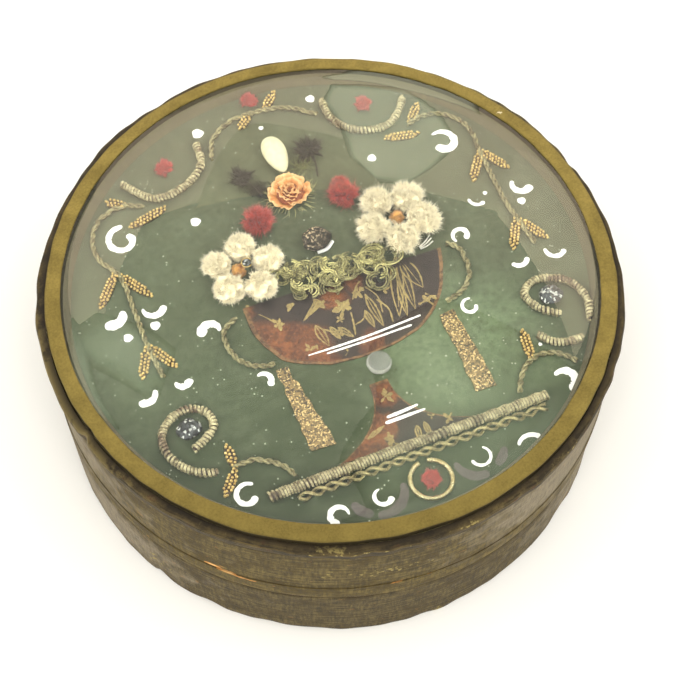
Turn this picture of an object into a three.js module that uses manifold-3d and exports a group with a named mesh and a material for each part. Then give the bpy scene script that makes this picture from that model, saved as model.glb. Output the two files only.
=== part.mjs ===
// A round cardboard box. Its lid holds a picture of paper, wire, beads and chenille
// on a green ground, under domed glass that a gilt paper ring frames.
// Millimetres, +Z up, origin at the middle of the underside, +Y towards the picture's top.
import * as THREE from 'three';
import { mergeVertices } from 'three/addons/utils/BufferGeometryUtils.js';
import Module from 'manifold-3d';

const wasm = await Module();
wasm.setup();

// The box
const boxRadius = 50;          // at the lid's rounded rim
const boxHeight = 37.4;        // underside to the top of the gilt ring
const lidHeight = 21.5;        // lower edge of the lid to the top of the gilt ring
const rimDrop = 1.3;           // top of the rim below the top of the gilt ring
const rimHeight = 2.6;
const rimRound = 0.8;
const bandInset = 0.35;        // the paper bands stand this far inside the rim
const stripHeight = 4.3;       // gilt strip along the lid's lower edge
const stripThickness = 0.15;
const wallThickness = 1.6;
const rebateWidth = 0.6;       // the lid's wall is thinner above its board
const bottomThickness = 1.6;
const edgeBevel = 0.4;
const neckThickness = 1.2;
const neckRise = 12;           // the neck stands this far above the base's wall
const gluedGap = 0.15;         // between card tubes and discs that fit into each other

// The glazed top
const boardThickness = 1.6;
const recessDepth = 3.6;       // top of the gilt ring to the green ground
const ringThickness = 0.3;
const ringWidth = 2.9;
const ringInset = 1.2;         // the ring's edge from the box's outside
const glassThickness = 1.5;
const glassRise = 2.4;
const glassGap = 0.3;          // round the edge of the glass
const spacerSlope = 0.6;       // the spacer's opening is this much wider at the glass
const openingLip = 0.3;        // the gilt ring's edge inside the widest part of that opening
const openingShift = 0.3;      // the opening was cut off-centre, towards the picture's top
const roundSegments = 54;

const seamHeight = boxHeight - lidHeight;
const bandRadius = boxRadius - bandInset;
const wallInner = bandRadius - wallThickness;
const rebateInner = wallInner + rebateWidth;
const groundHeight = boxHeight - recessDepth;
const ringUnderside = boxHeight - ringThickness;
const glassSeat = ringUnderside - glassThickness;
const ringOuter = boxRadius - ringInset;
const ringOpening = ringOuter - ringWidth;
const spacerTopOpening = ringOpening - openingLip;
const groundOpening = spacerTopOpening - spacerSlope;
const insertRadius = rebateInner - gluedGap;

// Colours and finishes
const paint = (color, roughness, metalness = 0) =>
  new THREE.MeshStandardMaterial({ color, roughness, metalness });
const bandPaper = paint(0x7d7256, 0.85);
const plainCard = paint(0xa08c66, 0.9);
const greenGround = paint(0x61755f, 0.8);
const innerPaper = paint(0x77705c, 0.85);
const giltPaper = paint(0x9a853f, 0.55, 0.3);
const clearGlass = paint(0xe4ebe6, 0.05);
const shellPaper = paint(0x5a2f1f, 0.45);
const silverPurl = paint(0xb5a780, 0.45, 0.6);
const giltWire = paint(0x9a8450, 0.4, 0.8);
const beadedGilt = paint(0xc79f45, 0.35, 0.85);
const glitterPaper = paint(0xa8834a, 0.5, 0.5);
const chenille = paint(0xece5d0, 0.95);
const orangeTuft = paint(0xd08a3c, 0.9);
const rosePaper = paint(0xd08658, 0.8);
const budPaper = paint(0xe9e4c4, 0.6);
const redWool = paint(0xa83a32, 0.95);
const darkTuft = paint(0x4c4438, 0.95);
const oreStone = paint(0x5c5238, 0.4, 0.4);
const mossThread = paint(0xb3ac62, 0.6, 0.3);
const foilStone = paint(0x3d423f, 0.25, 0.5);
const brassWire = paint(0xcdb35f, 0.3, 0.9);

// From three.js geometry to closed solids and back
const isFlat = (a, b, c) => a === b || b === c || c === a;

function solid(geometry) {
  geometry.deleteAttribute('normal');
  geometry.deleteAttribute('uv');
  const merged = mergeVertices(geometry);
  const corners = Array.from(merged.index.array);
  const kept = [];
  for (let i = 0; i < corners.length; i += 3) {
    const [a, b, c] = corners.slice(i, i + 3);
    if (!isFlat(a, b, c)) kept.push(a, b, c);
  }
  return new wasm.Manifold(new wasm.Mesh({
    numProp: 3,
    vertProperties: new Float32Array(merged.attributes.position.array),
    triVerts: new Uint32Array(kept),
  }));
}

function piece(name, shape, material) {
  const result = shape.getMesh();
  const geometry = new THREE.BufferGeometry();
  geometry.setAttribute('position', new THREE.BufferAttribute(result.vertProperties, 3));
  geometry.setIndex(new THREE.BufferAttribute(result.triVerts, 1));
  geometry.computeVertexNormals();
  const mesh = new THREE.Mesh(geometry, material);
  mesh.name = name;
  return mesh;
}

const joined = (shapes) => shapes.reduce((all, next) => all.add(next));

// A turned solid from its [radius, height] outline, listed anticlockwise
function turned(outline, shiftY = 0) {
  const points = outline.map(([radius, height]) => new THREE.Vector2(radius, height));
  if (outline[0][0] > 0) points.push(points[0].clone());
  return solid(new THREE.LatheGeometry(points, roundSegments).rotateX(Math.PI / 2).translate(0, shiftY, 0));
}

const tube = (inner, outer, low, high) =>
  turned([[inner, low], [outer, low], [outer, high], [inner, high]]);

const disc = (radius, low, high) => turned([[0, low], [radius, low], [radius, high], [0, high]]);

// A flat solid from a drawn outline
const flat = (shape, thickness, curveSegments = 12) =>
  solid(new THREE.ExtrudeGeometry(shape, { depth: thickness, bevelEnabled: false, curveSegments }));

// A rod that lies on the ground along a smooth curve through [x, y] points
function rod(route, radius, steps, sides = 6) {
  const points = route.map(([x, y]) => new THREE.Vector3(x, y, radius));
  const section = new THREE.Shape();
  for (let i = 0; i < sides; i++) {
    const turn = (i + 0.5) / sides * 2 * Math.PI;
    const corner = [radius * Math.cos(turn), radius * Math.sin(turn)];
    if (i === 0) section.moveTo(...corner);
    else section.lineTo(...corner);
  }
  section.closePath();
  const extrudePath = new THREE.CatmullRomCurve3(points);
  return solid(new THREE.ExtrudeGeometry(section, { steps, extrudePath }));
}

// A rounded lump that touches its base height, from its radii and its height
function lump([x, y], radiusX, radiusY, height, base = 0, around = 8, up = 6) {
  const geometry = new THREE.SphereGeometry(1, around, up).rotateX(Math.PI / 2);
  return solid(geometry.scale(radiusX, radiusY, height / 2).translate(x, y, base + height / 2));
}

// The base of the box
function makeBase() {
  const wall = turned([
    [wallInner, 0],
    [bandRadius - edgeBevel, 0],
    [bandRadius, edgeBevel],
    [bandRadius, seamHeight],
    [wallInner, seamHeight],
  ]);
  const neckOuter = wallInner - gluedGap;
  const neck = tube(neckOuter - neckThickness, neckOuter, bottomThickness, seamHeight + neckRise);
  return [
    piece('base_bottom', disc(neckOuter, 0, bottomThickness), plainCard),
    piece('base_wall', wall, bandPaper),
    piece('base_neck', neck, innerPaper),
  ];
}

// The lid's wall, from the seam up to its rounded rim, with a rebate for the board
function makeLidWall() {
  const stripTop = seamHeight + stripHeight;
  const stripRadius = bandRadius + stripThickness;
  const rimTop = boxHeight - rimDrop;
  const rimBottom = rimTop - rimHeight;
  const boardUnderside = groundHeight - boardThickness;
  const softened = rimRound * (1 - Math.SQRT1_2);
  return turned([
    [wallInner, seamHeight],
    [stripRadius, seamHeight],
    [stripRadius, stripTop],
    [bandRadius, stripTop],
    [bandRadius, rimBottom],
    [boxRadius, rimBottom + bandInset],
    [boxRadius, rimTop - rimRound],
    [boxRadius - softened, rimTop - softened],
    [boxRadius - rimRound, rimTop],
    [rebateInner, rimTop],
    [rebateInner, boardUnderside],
    [wallInner, boardUnderside],
  ]);
}

// The ring of card between the picture's ground and the glass
function makeSpacer() {
  const opening = turned([
    [0, groundHeight],
    [groundOpening, groundHeight],
    [spacerTopOpening, glassSeat],
    [0, glassSeat],
  ], openingShift);
  return disc(insertRadius, groundHeight, glassSeat).subtract(opening);
}

// Domed glass with a flat edge, which the spacer carries and the gilt ring covers
function makeGlass() {
  const shares = [0, 0.4, 0.72];
  const domeRadius = spacerTopOpening - openingShift;
  const dome = (height) =>
    shares.map((share) => [share * domeRadius, height + glassRise * (1 - share ** 2)]);
  const glassRadius = rebateInner - glassGap;
  return turned([
    ...dome(glassSeat),
    [domeRadius, glassSeat],
    [glassRadius, glassSeat],
    [glassRadius, ringUnderside],
    [domeRadius, ringUnderside],
    ...dome(ringUnderside).reverse(),
  ]);
}

function makeGiltRing() {
  const shape = new THREE.Shape().absarc(0, 0, ringOuter, 0, 2 * Math.PI);
  shape.holes.push(new THREE.Path().absarc(0, openingShift, ringOpening, 0, 2 * Math.PI));
  return flat(shape, ringThickness, roundSegments / 2).translate([0, 0, ringUnderside]);
}

const makeLid = () => [
  piece('lid_wall', makeLidWall(), bandPaper),
  piece('lid_board', disc(insertRadius, groundHeight - boardThickness, groundHeight), greenGround),
  piece('lid_spacer', makeSpacer(), innerPaper),
  piece('lid_glass', makeGlass(), clearGlass),
  piece('gilt_ring', makeGiltRing(), giltPaper),
];

// The picture is laid out on a ground of this radius, for glass this far above it
const drawnGround = 45;
const drawnEdgeSpace = 1.8;
const drawnCentreSpace = 4.2;

const paperThickness = 0.2;
const pieceGap = 0.3;

// Bowl: outline in shares of its width and depth, from the middle of its rim
const bowlWidth = 36.5;
const bowlDepth = 16;
const bowlCentre = [2.35, 0.65];
const bowlRim = [[-0.5, 0.04], [0.5, -0.04]];
const bowlSides = [
  [0.43, -0.45], [0.36, -0.66], [0.22, -0.89], [-0.02, -0.98],
  [-0.24, -0.93], [-0.43, -0.68], [-0.49, -0.37],
];
const onBowl = ([x, y]) => [bowlCentre[0] + x * bowlWidth, bowlCentre[1] + y * bowlDepth];

function makeBowl() {
  const [left, right] = bowlRim.map(onBowl);
  const shape = new THREE.Shape().moveTo(...left).lineTo(...right);
  shape.splineThru([...bowlSides.map(onBowl), left].map((point) => new THREE.Vector2(...point)));
  return flat(shape, paperThickness, 2);
}

// Below the bowl: a bead, the concave foot, and the bar and cord that it stands on
const beadRadius = 2.4;
const beadHeight = 2.6;
const beadShift = 1.3;
const barRadius = 0.95;
const barLength = 48.7;
const barShift = 0.2;
const cordRadius = 0.6;
const cordLength = 43.4;
const cordShift = 1.8;
const footWidth = 24;
const footTop = 1.6;
const footHeight = 11.8;
const footCurve = 0.3;         // how far down the sides spread, as a share of the foot's height

const beadPlace = [beadShift, onBowl([0, -0.98])[1] - pieceGap - beadRadius];
const footApex = beadPlace[1] - beadRadius - pieceGap;
const footBase = footApex - footHeight;
const barHeight = footBase - pieceGap - barRadius;
const cordHeight = barHeight - barRadius - pieceGap - cordRadius;

function makeFoot() {
  const half = footWidth / 2;
  const waist = footBase + footHeight * footCurve;
  const shape = new THREE.Shape().moveTo(-half, footBase).lineTo(half, footBase);
  shape.quadraticCurveTo(footTop, waist, footTop, footApex);
  shape.lineTo(0, footApex);
  shape.quadraticCurveTo(-footTop, waist, -half, footBase);
  return flat(shape, paperThickness, 6);
}

const level = (length, centre, height) => [
  [centre - length / 2, height],
  [centre, height],
  [centre + length / 2, height],
];

// Handles and ribbons hang from the bowl's sides
const wireRadius = 0.45;
const handleLeft = [
  [-0.545, -0.05], [-0.62, -0.16], [-0.63, -0.41], [-0.595, -0.59], [-0.53, -0.7], [-0.465, -0.73],
];
const handleRight = [
  [0.53, -0.02], [0.57, -0.1], [0.58, -0.28], [0.56, -0.48], [0.49, -0.64], [0.4, -0.7],
];

const ribbonLength = 16;
const ribbonThickness = 0.2;
const ribbonLeft = { top: [-0.445, -0.81], narrow: 2, wide: 4.4, lean: 1.1 };
const ribbonRight = { top: [0.375, -0.81], narrow: 2.7, wide: 3.7, lean: 0.2 };

function makeRibbon({ top, narrow, wide, lean }) {
  const [x, y] = onBowl(top);
  const foot = y - ribbonLength;
  const shape = new THREE.Shape().moveTo(x - narrow / 2, y).lineTo(x + lean - wide / 2, foot);
  shape.lineTo(x + lean + wide / 2, foot).lineTo(x + narrow / 2, y).closePath();
  return flat(shape, ribbonThickness);
}

// Chenille flowers: petals in a ring round a tuft, resting on the bowl's paper
const petalCount = 5;
const petalRadius = 3;
const petalRing = 4.6;
const petalHeight = 3;
const tuftHeight = 2.4;
const flowers = {
  left: { centre: [-13.2, 7.9], turn: 4 },
  right: { centre: [15.6, 8], turn: 44 },
};

const around = ([x, y], radius, degrees) => {
  const angle = THREE.MathUtils.degToRad(degrees);
  return [x + radius * Math.cos(angle), y + radius * Math.sin(angle)];
};

function makePetals({ centre, turn }) {
  const petals = [];
  for (let i = 0; i < petalCount; i++) {
    const place = around(centre, petalRing, turn + i * 360 / petalCount);
    petals.push(lump(place, petalRadius, petalRadius, petalHeight, paperThickness));
  }
  return joined(petals);
}

const tuftRadius = petalRing - petalRadius - pieceGap;
const makeTuft = ({ centre }) => lump(centre, tuftRadius, tuftRadius, tuftHeight, 0, 6, 4);

// The rest of the bunch
const roseRadius = 4.6;
const roseHeight = 3;
const rosePlace = [0.3, 20.2];
const roseLayers = 3;

// Each layer of petals is a lobed disc, turned and smaller than the one below
function makeRose() {
  const layers = [];
  const layerHeight = roseHeight / roseLayers;
  const lobeCount = 5;
  for (let layer = 0; layer < roseLayers; layer++) {
    const radius = roseRadius * (1 - 0.25 * layer);
    const shape = new THREE.Shape();
    for (let i = 0; i <= lobeCount * 2; i++) {
      const reach = radius * (i % 2 ? 0.88 : 1);
      const corner = around(rosePlace, reach, i * 180 / lobeCount + layer * 25);
      if (i === 0) shape.moveTo(...corner);
      else shape.lineTo(...corner);
    }
    layers.push(flat(shape, layerHeight * (layer + 1)));
  }
  return joined(layers);
}

const budPlace = [0.9, 29];
const budWidth = 5.5;
const budLength = 8.4;
const budHeight = 2.6;
const pompomRadius = 3;
const pompomHeight = 2.8;
const pompoms = { left: [-7.2, 16.5], right: [8.8, 17] };
const floretReach = 2.7;
const floretHeight = 2;
const floretSpikes = 6;
const florets = { left: [-6.5, 26.5], right: [6.9, 28] };
const nuggetRadius = 3;
const nuggetHeight = 2.8;
const nuggetPlace = [0.8, 9.2];

// A star of spikes, raised in the middle
function makeFloret([x, y]) {
  const shape = new THREE.Shape();
  for (let i = 0; i < floretSpikes * 2; i++) {
    const reach = floretReach * (i % 2 ? 0.45 : 1);
    const corner = around([x, y], reach, i * 180 / floretSpikes);
    if (i === 0) shape.moveTo(...corner);
    else shape.lineTo(...corner);
  }
  shape.closePath();
  const middle = lump([x, y], floretReach * 0.4, floretReach * 0.4, floretHeight, 0, 6, 4);
  return flat(shape, floretHeight / 2).add(middle);
}

// A dark stone with flat facets
function makeNugget([x, y]) {
  const tiltAngle = 0.5;
  const geometry = new THREE.DodecahedronGeometry(1).rotateX(tiltAngle);
  geometry.scale(nuggetRadius, nuggetRadius, nuggetHeight / 2).translate(x, y, nuggetHeight / 2);
  return solid(geometry);
}

// Curled thread in overlapping clumps along the bowl's rim
const clumpRadius = 1.8;
const clumpHeight = 2.2;
const clumps = [
  [-5.3, 3.4], [-2.8, 3.9], [0.1, 2.8], [0.8, 0.5], [3, 1.3],
  [5.4, 2.1], [8, 2.4], [8.8, 0.4], [8.7, -1.6],
];
const makeMoss = () =>
  joined(clumps.map((place) => lump(place, clumpRadius, clumpRadius, clumpHeight, paperThickness, 6, 4)));

const sprigRadius = 0.2;
const sprigRoute = [[17, 1], [18.4, 1.4], [19.7, 2.1]];

// Rods wrapped in purl
const purlRadius = 0.75;
const crescentLeft = [[-26.8, 33.4], [-22.2, 28.3], [-15.9, 29.2], [-12.2, 32.5], [-11.5, 37.1]];
const crescentRight = [
  [13.4, 38], [13.4, 33.8], [15.5, 30.1], [19, 28.2], [22.7, 28.2], [25.8, 30.5], [27.6, 33],
];
const spiralLeft = [
  [-30.2, -26.3], [-32.7, -25.3], [-35.5, -22.7], [-36.7, -19.5], [-36.3, -16.7], [-34.2, -14.5],
  [-30.5, -13.8], [-28.1, -15.7], [-27.9, -18], [-30.1, -20], [-32.4, -21],
];
const spiralRight = [
  [33.6, -20.3], [30.7, -17.7], [29.7, -14.3], [31.8, -12.7],
  [35.1, -13], [38.2, -15.3], [39.2, -19.2], [37.9, -23],
];
const smallArc = [[28.3, -22.5], [30.1, -24.7], [32.9, -25.7], [35, -25.7]];

// Stones in the spirals, red dots, and the open ring of wire
const stoneRadius = 2.2;
const stoneHeight = 1.4;
const stones = { left: [-31.9, -17.2], right: [33.9, -16.1] };
const makeStone = (place) => lump(place, stoneRadius, stoneRadius * 0.85, stoneHeight, 0, 8, 4);
const dotRadius = 1.7;
const dotHeight = 1.2;
const ringWire = 0.4;
const ringRadius = 3.8;        // to the outside of the wire
const ringGap = 24;            // degrees
const ringPlace = [0.9, cordHeight - cordRadius - pieceGap - ringRadius];
const dots = { top: [1, 43], left: [-18.6, 34.3], right: [20.2, 34.6], bottom: ringPlace };

function makeBrassRing() {
  const route = [];
  const segments = 12;
  for (let i = 0; i <= segments; i++) {
    const degrees = 90 + ringGap / 2 + i * (360 - ringGap) / segments;
    route.push(around(ringPlace, ringRadius - ringWire, degrees));
  }
  return rod(route, ringWire, segments);
}

// Garlands: a twisted wire stem with flat pointed leaves, each from its base to its tip
const leafThickness = 0.5;
const leafWidth = 1.9;
const garlands = {
  top: {
    stem: [[-10, 33], [-8.4, 37], [-4.5, 39.7], [1, 40.2], [6.9, 39], [11.5, 35.5]],
    leaves: [[[2.8, 40.3], [6.2, 43.5]], [[-0.3, 40], [-2.9, 37.7]]],
  },
  left: {
    stem: [
      [-24.6, 27.6], [-27.6, 29], [-33.1, 27.5], [-35.5, 23.2], [-35.3, 19.5], [-33.4, 16],
      [-33, 7.8], [-33.1, 0.7], [-32.6, -6.4],
    ],
    leaves: [
      [[-27.8, 29.2], [-30.6, 31.2]], [[-33.8, 16], [-38.1, 10.4]], [[-33.2, 15.6], [-29.3, 9.4]],
      [[-33.3, 0], [-35.9, -5.4]], [[-32.9, 0.2], [-29.9, -5.3]],
    ],
  },
  right: {
    stem: [
      [26, 26.9], [29, 27.8], [32.1, 27.3], [35, 24.8], [36.2, 21.3], [35.8, 17],
      [35.4, 11], [35.3, 3.2], [35.8, -1.6], [36.2, -5.4],
    ],
    leaves: [
      [[26.4, 27.2], [29.8, 30.9]], [[35.9, 16.6], [39, 11.2]], [[35.7, 16.4], [31.8, 10.9]],
      [[35.4, 0.5], [32.1, -5.1]], [[35.7, 0.3], [38.7, -5.2]],
    ],
  },
  lower_right: {
    stem: [[32.2, -29.4], [30.4, -27.2], [27.1, -26], [24, -27], [22, -29.1], [20.8, -31.2]],
    leaves: [[[25.4, -26.2], [26.4, -20.6]]],
  },
  lower_left: {
    stem: [[-27.4, -26.4], [-24.7, -26.1], [-21.5, -27.7], [-19.5, -29.8], [-18.9, -31.4]],
    leaves: [[[-27.3, -26.2], [-27.2, -22]], [[-27.3, -26.6], [-30.5, -30.5]]],
  },
};
const longLeaves = { left: [[-21.2, 26], [-28.4, 24.4]], right: [[20.9, 25.7], [27.2, 24.4]] };

function makeLeaf([from, to]) {
  const start = new THREE.Vector2(...from);
  const along = new THREE.Vector2(...to).sub(start);
  const across = new THREE.Vector2(-along.y, along.x).normalize();
  const outline = [[0, 0], [0.4, -1], [0.75, -0.8], [1, 0], [0.75, 0.8], [0.4, 1]];
  const corners = outline.map(([share, side]) =>
    start.clone().addScaledVector(along, share).addScaledVector(across, side * leafWidth / 2));
  return flat(new THREE.Shape(corners), leafThickness);
}

const makeGarland = ({ stem, leaves }) =>
  joined([rod(stem, wireRadius, 2 * (stem.length - 1)), ...leaves.map(makeLeaf)]);

// A set of like pieces, each named after its place
const eachSide = (name, places, make, material) =>
  Object.entries(places).map(([side, place]) => piece(`${name}_${side}`, make(place), material));

// The whole picture, on a ground at height 0
const makePicture = () => [
  piece('bowl', makeBowl(), shellPaper),
  piece('bowl_foot', makeFoot(), shellPaper),
  piece('stem_bead', lump(beadPlace, beadRadius, beadRadius, beadHeight, 0, 10, 6), clearGlass),
  piece('table_bar', rod(level(barLength, barShift, barHeight), barRadius, 2, 8), silverPurl),
  piece('table_cord', rod(level(cordLength, cordShift, cordHeight), cordRadius, 2), giltWire),
  piece('handle_left', rod(handleLeft.map(onBowl), wireRadius, 10), giltWire),
  piece('handle_right', rod(handleRight.map(onBowl), wireRadius, 10), giltWire),
  piece('ribbon_left', makeRibbon(ribbonLeft), glitterPaper),
  piece('ribbon_right', makeRibbon(ribbonRight), glitterPaper),
  ...eachSide('flower', flowers, makePetals, chenille),
  ...eachSide('flower_centre', flowers, makeTuft, orangeTuft),
  piece('rose', makeRose(), rosePaper),
  piece('white_bud', lump(budPlace, budWidth / 2, budLength / 2, budHeight), budPaper),
  ...eachSide('pompom', pompoms, (place) => lump(place, pompomRadius, pompomRadius, pompomHeight), redWool),
  ...eachSide('floret', florets, makeFloret, darkTuft),
  piece('ore_nugget', makeNugget(nuggetPlace), oreStone),
  piece('moss', makeMoss(), mossThread),
  piece('silver_sprig', rod(sprigRoute, sprigRadius, 3), silverPurl),
  piece('crescent_left', rod(crescentLeft, purlRadius, 12), silverPurl),
  piece('crescent_right', rod(crescentRight, purlRadius, 12), silverPurl),
  piece('spiral_left', rod(spiralLeft, purlRadius, 20), silverPurl),
  piece('spiral_right', rod(spiralRight, purlRadius, 16), silverPurl),
  piece('small_arc', rod(smallArc, purlRadius, 6), silverPurl),
  ...eachSide('stone', stones, makeStone, foilStone),
  ...eachSide('red_tuft', dots, (place) => lump(place, dotRadius, dotRadius, dotHeight, 0, 8, 4), redWool),
  piece('brass_ring', makeBrassRing(), brassWire),
  ...eachSide('garland', garlands, makeGarland, giltWire),
  ...eachSide('long_leaf', longLeaves, makeLeaf, beadedGilt),
];

// The picture keeps its proportions in whatever room the opening and the glass leave it
const picture = new THREE.Group();
picture.add(...makePicture());
const spread = groundOpening / drawnGround;
const edgeSpace = glassSeat - groundHeight;
const relief = Math.min(edgeSpace / drawnEdgeSpace, (edgeSpace + glassRise) / drawnCentreSpace);
picture.scale.set(spread, spread, relief);
picture.position.z = groundHeight;

const box = new THREE.Group();
box.add(...makeBase(), ...makeLid(), picture);

export default box;
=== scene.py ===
"""A round card box whose lid holds a picture of paper, wire, beads and chenille under glass.

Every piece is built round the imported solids. Lengths are in millimetres, and a mesh is
turned into metres when it is made.
"""
import math
from functools import partial

import bpy
import numpy as np
from mathutils import Matrix, Vector


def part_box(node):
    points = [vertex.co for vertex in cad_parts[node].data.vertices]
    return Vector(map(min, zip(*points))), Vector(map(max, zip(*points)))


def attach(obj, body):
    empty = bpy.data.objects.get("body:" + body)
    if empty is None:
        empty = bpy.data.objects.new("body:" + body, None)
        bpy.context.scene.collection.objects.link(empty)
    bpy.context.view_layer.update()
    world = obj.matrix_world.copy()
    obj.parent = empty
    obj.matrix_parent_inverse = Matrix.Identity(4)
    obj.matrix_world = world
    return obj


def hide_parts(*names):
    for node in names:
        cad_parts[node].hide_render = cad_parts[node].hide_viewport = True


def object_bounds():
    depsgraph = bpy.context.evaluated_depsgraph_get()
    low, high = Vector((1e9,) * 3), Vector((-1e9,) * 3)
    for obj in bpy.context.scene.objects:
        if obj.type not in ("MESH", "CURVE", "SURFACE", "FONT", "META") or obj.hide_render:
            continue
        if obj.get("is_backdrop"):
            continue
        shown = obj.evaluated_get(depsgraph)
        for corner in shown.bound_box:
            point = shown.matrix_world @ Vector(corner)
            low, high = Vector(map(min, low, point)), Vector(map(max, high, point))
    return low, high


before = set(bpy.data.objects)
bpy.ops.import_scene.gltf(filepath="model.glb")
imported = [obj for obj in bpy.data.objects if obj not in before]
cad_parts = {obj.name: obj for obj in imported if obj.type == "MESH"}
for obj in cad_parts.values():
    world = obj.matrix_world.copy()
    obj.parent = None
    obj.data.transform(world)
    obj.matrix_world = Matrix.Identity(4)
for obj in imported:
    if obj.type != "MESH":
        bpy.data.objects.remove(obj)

solid_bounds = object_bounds()
MM = 0.001
FULL = 2 * math.pi


def low(node):
    """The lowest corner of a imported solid's box."""
    return np.array(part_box(node)[0]) / MM


def high(node):
    """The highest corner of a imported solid's box."""
    return np.array(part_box(node)[1]) / MM


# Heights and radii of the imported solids
SEAM = low("lid_wall")[2]
WALL_RADIUS = high("base_wall")[1]
RIM_RADIUS = high("lid_wall")[1]
RIM_TOP = high("lid_wall")[2]
NECK_RADIUS = high("base_neck")[1]
NECK_LOW = low("base_neck")[2]
NECK_TOP = high("base_neck")[2]
BOARD_RADIUS = high("lid_board")[1]
BOARD_LOW = low("lid_board")[2]
GROUND = high("lid_board")[2]
GLASS_RADIUS = high("lid_glass")[1]
GLASS_LOW = low("lid_glass")[2]
RING_TOP = high("gilt_ring")[2]
RING_RADIUS = high("gilt_ring")[1]

# Sizes that the solids share with these meshes
WALL_THICKNESS = 1.6
NECK_THICKNESS = 1.2
RIM_HEIGHT = 2.6
STRIP_HEIGHT = 4.3
RING_THICKNESS = 0.3
RING_OPENING = 45.9
OPENING_SHIFT = 0.3
SPACER_OPENING = 45.6
DOME_RADIUS = 45.3
GLASS_RISE = 2.4
PAPER = 0.2

# How much narrower the spacer's opening is at its foot, at the sides and the back
SPACER_LEAN = 1.3

# How far the fibres of the picture stay from the glass and from the ground
FIBRE_TO_GLASS = 0.2
FIBRE_TO_GROUND = 0.02


# Directions seen from the camera's side of the box: azimuth 0 faces the camera, 180 is behind it
PICTURE_TURN = math.radians(22)


def toward(azimuth, elevation):
    """The direction from the box towards that place round it, with angles in degrees."""
    flat, rise = math.radians(azimuth), math.radians(elevation)
    seen = Vector((math.sin(flat) * math.cos(rise), -math.cos(flat) * math.cos(rise), math.sin(rise)))
    return Matrix.Rotation(-PICTURE_TURN, 3, "Z") @ seen


def angle_at(azimuth):
    """The angle about the box's axis, from +X, of a place on its side."""
    return math.radians(azimuth - 90) - PICTURE_TURN


# Numbers along curves and over surfaces
def smooth_route(route, step):
    """Points at even steps on a smooth curve through the route's points."""
    route = np.asarray(route, float)
    length = np.linalg.norm(np.diff(route, axis=0), axis=1)
    knots = np.concatenate([[0], np.cumsum(length)])
    slope = np.gradient(route, knots, axis=0)
    t = np.linspace(0, knots[-1], max(3, round(knots[-1] / step) + 1))
    i = np.clip(np.searchsorted(knots, t, "right") - 1, 0, len(length) - 1)
    h = length[i][:, None]
    u = (t - knots[i])[:, None] / h
    start = (2 * u**3 - 3 * u**2 + 1) * route[i] + (u**3 - 2 * u**2 + u) * h * slope[i]
    end = (3 * u**2 - 2 * u**3) * route[i + 1] + (u**3 - u**2) * h * slope[i + 1]
    return start + end


def raised(route, height):
    """[x, y] points at one height above the ground."""
    route = np.asarray(route, float)
    return np.column_stack([route[:, :2], np.full(len(route), GROUND + height)])


def unit(vectors):
    """The vectors at a length of 1."""
    return vectors / np.maximum(np.linalg.norm(vectors, axis=-1, keepdims=True), 1e-9)


def run_length(path):
    """How far along the path each of its points is."""
    return np.concatenate([[0], np.cumsum(np.linalg.norm(np.diff(path, axis=0), axis=1))])


def frames(path, up=(0, 0, 1)):
    """Side and up directions along a path, square to it."""
    tangent = unit(np.gradient(path, axis=0))
    up = np.broadcast_to(np.asarray(up, float), path.shape)
    up = unit(up - (up * tangent).sum(1, keepdims=True) * tangent)
    return np.cross(up, tangent), up


def rumple(points, size, random):
    """A smooth random field at the points, mostly within 1 of nought, with bumps of about that size."""
    waves = 12
    total = np.zeros(len(points))
    for _ in range(waves):
        direction = random.normal(size=points.shape[1])
        direction *= random.uniform(0.6, 1.4) * math.pi / size / np.linalg.norm(direction)
        total += np.sin(points @ direction + random.uniform(0, FULL))
    return total / math.sqrt(waves)


def ripple(theta, seed, first=2, last=24, fall=0.7):
    """A smooth random field round the box, mostly within 1 of nought."""
    random = np.random.default_rng(seed)
    total = np.zeros_like(theta)
    size = 0
    for count in range(first, last):
        share = (first / count) ** fall
        total += share * np.sin(count * theta + random.uniform(0, FULL))
        size += share**2 / 2
    return total / math.sqrt(size) / 1.6


def patch(theta, azimuth, width):
    """1 at an azimuth on the box's side, falling to 0 over that many degrees."""
    off = (theta - angle_at(azimuth) + math.pi) % FULL - math.pi
    return np.exp(-((off / math.radians(width)) ** 2))


# Rings and nets of points
def turns(count):
    """Angles at even steps round a circle."""
    return np.arange(count) / count * FULL


def circle(x, y, height, reach, turn):
    """Points about a middle at those angles, all at one height or each at its own."""
    height = np.broadcast_to(height, len(turn))
    return np.column_stack([x + reach * np.cos(turn), y + reach * np.sin(turn), height])


def all_round(rings, sides, highest):
    """Rows of directions from that many degrees below level to as many above."""
    polar = np.radians(np.linspace(-highest, highest, rings))[:, None]
    turn = turns(sides)
    flat = np.cos(polar)
    return np.stack([flat * np.cos(turn), flat * np.sin(turn), np.sin(polar) + 0 * turn], -1)


def net(rows, columns, closed=True, joined=False):
    """Quads between neighbouring rows. Rows close on themselves, and the last row may join the first."""
    r = np.arange(rows if joined else rows - 1)[:, None]
    c = np.arange(columns if closed else columns - 1)[None, :]
    next_row = (r + 1) % rows
    next_column = (c + 1) % columns
    corners = [r * columns + c, r * columns + next_column, next_row * columns + next_column]
    corners.append(next_row * columns + c)
    return np.stack(corners, -1).reshape(-1, 4)


def placed(name, data):
    """A new object of that data, in the scene."""
    made = bpy.data.objects.new(name, data)
    bpy.context.scene.collection.objects.link(made)
    return made


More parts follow.
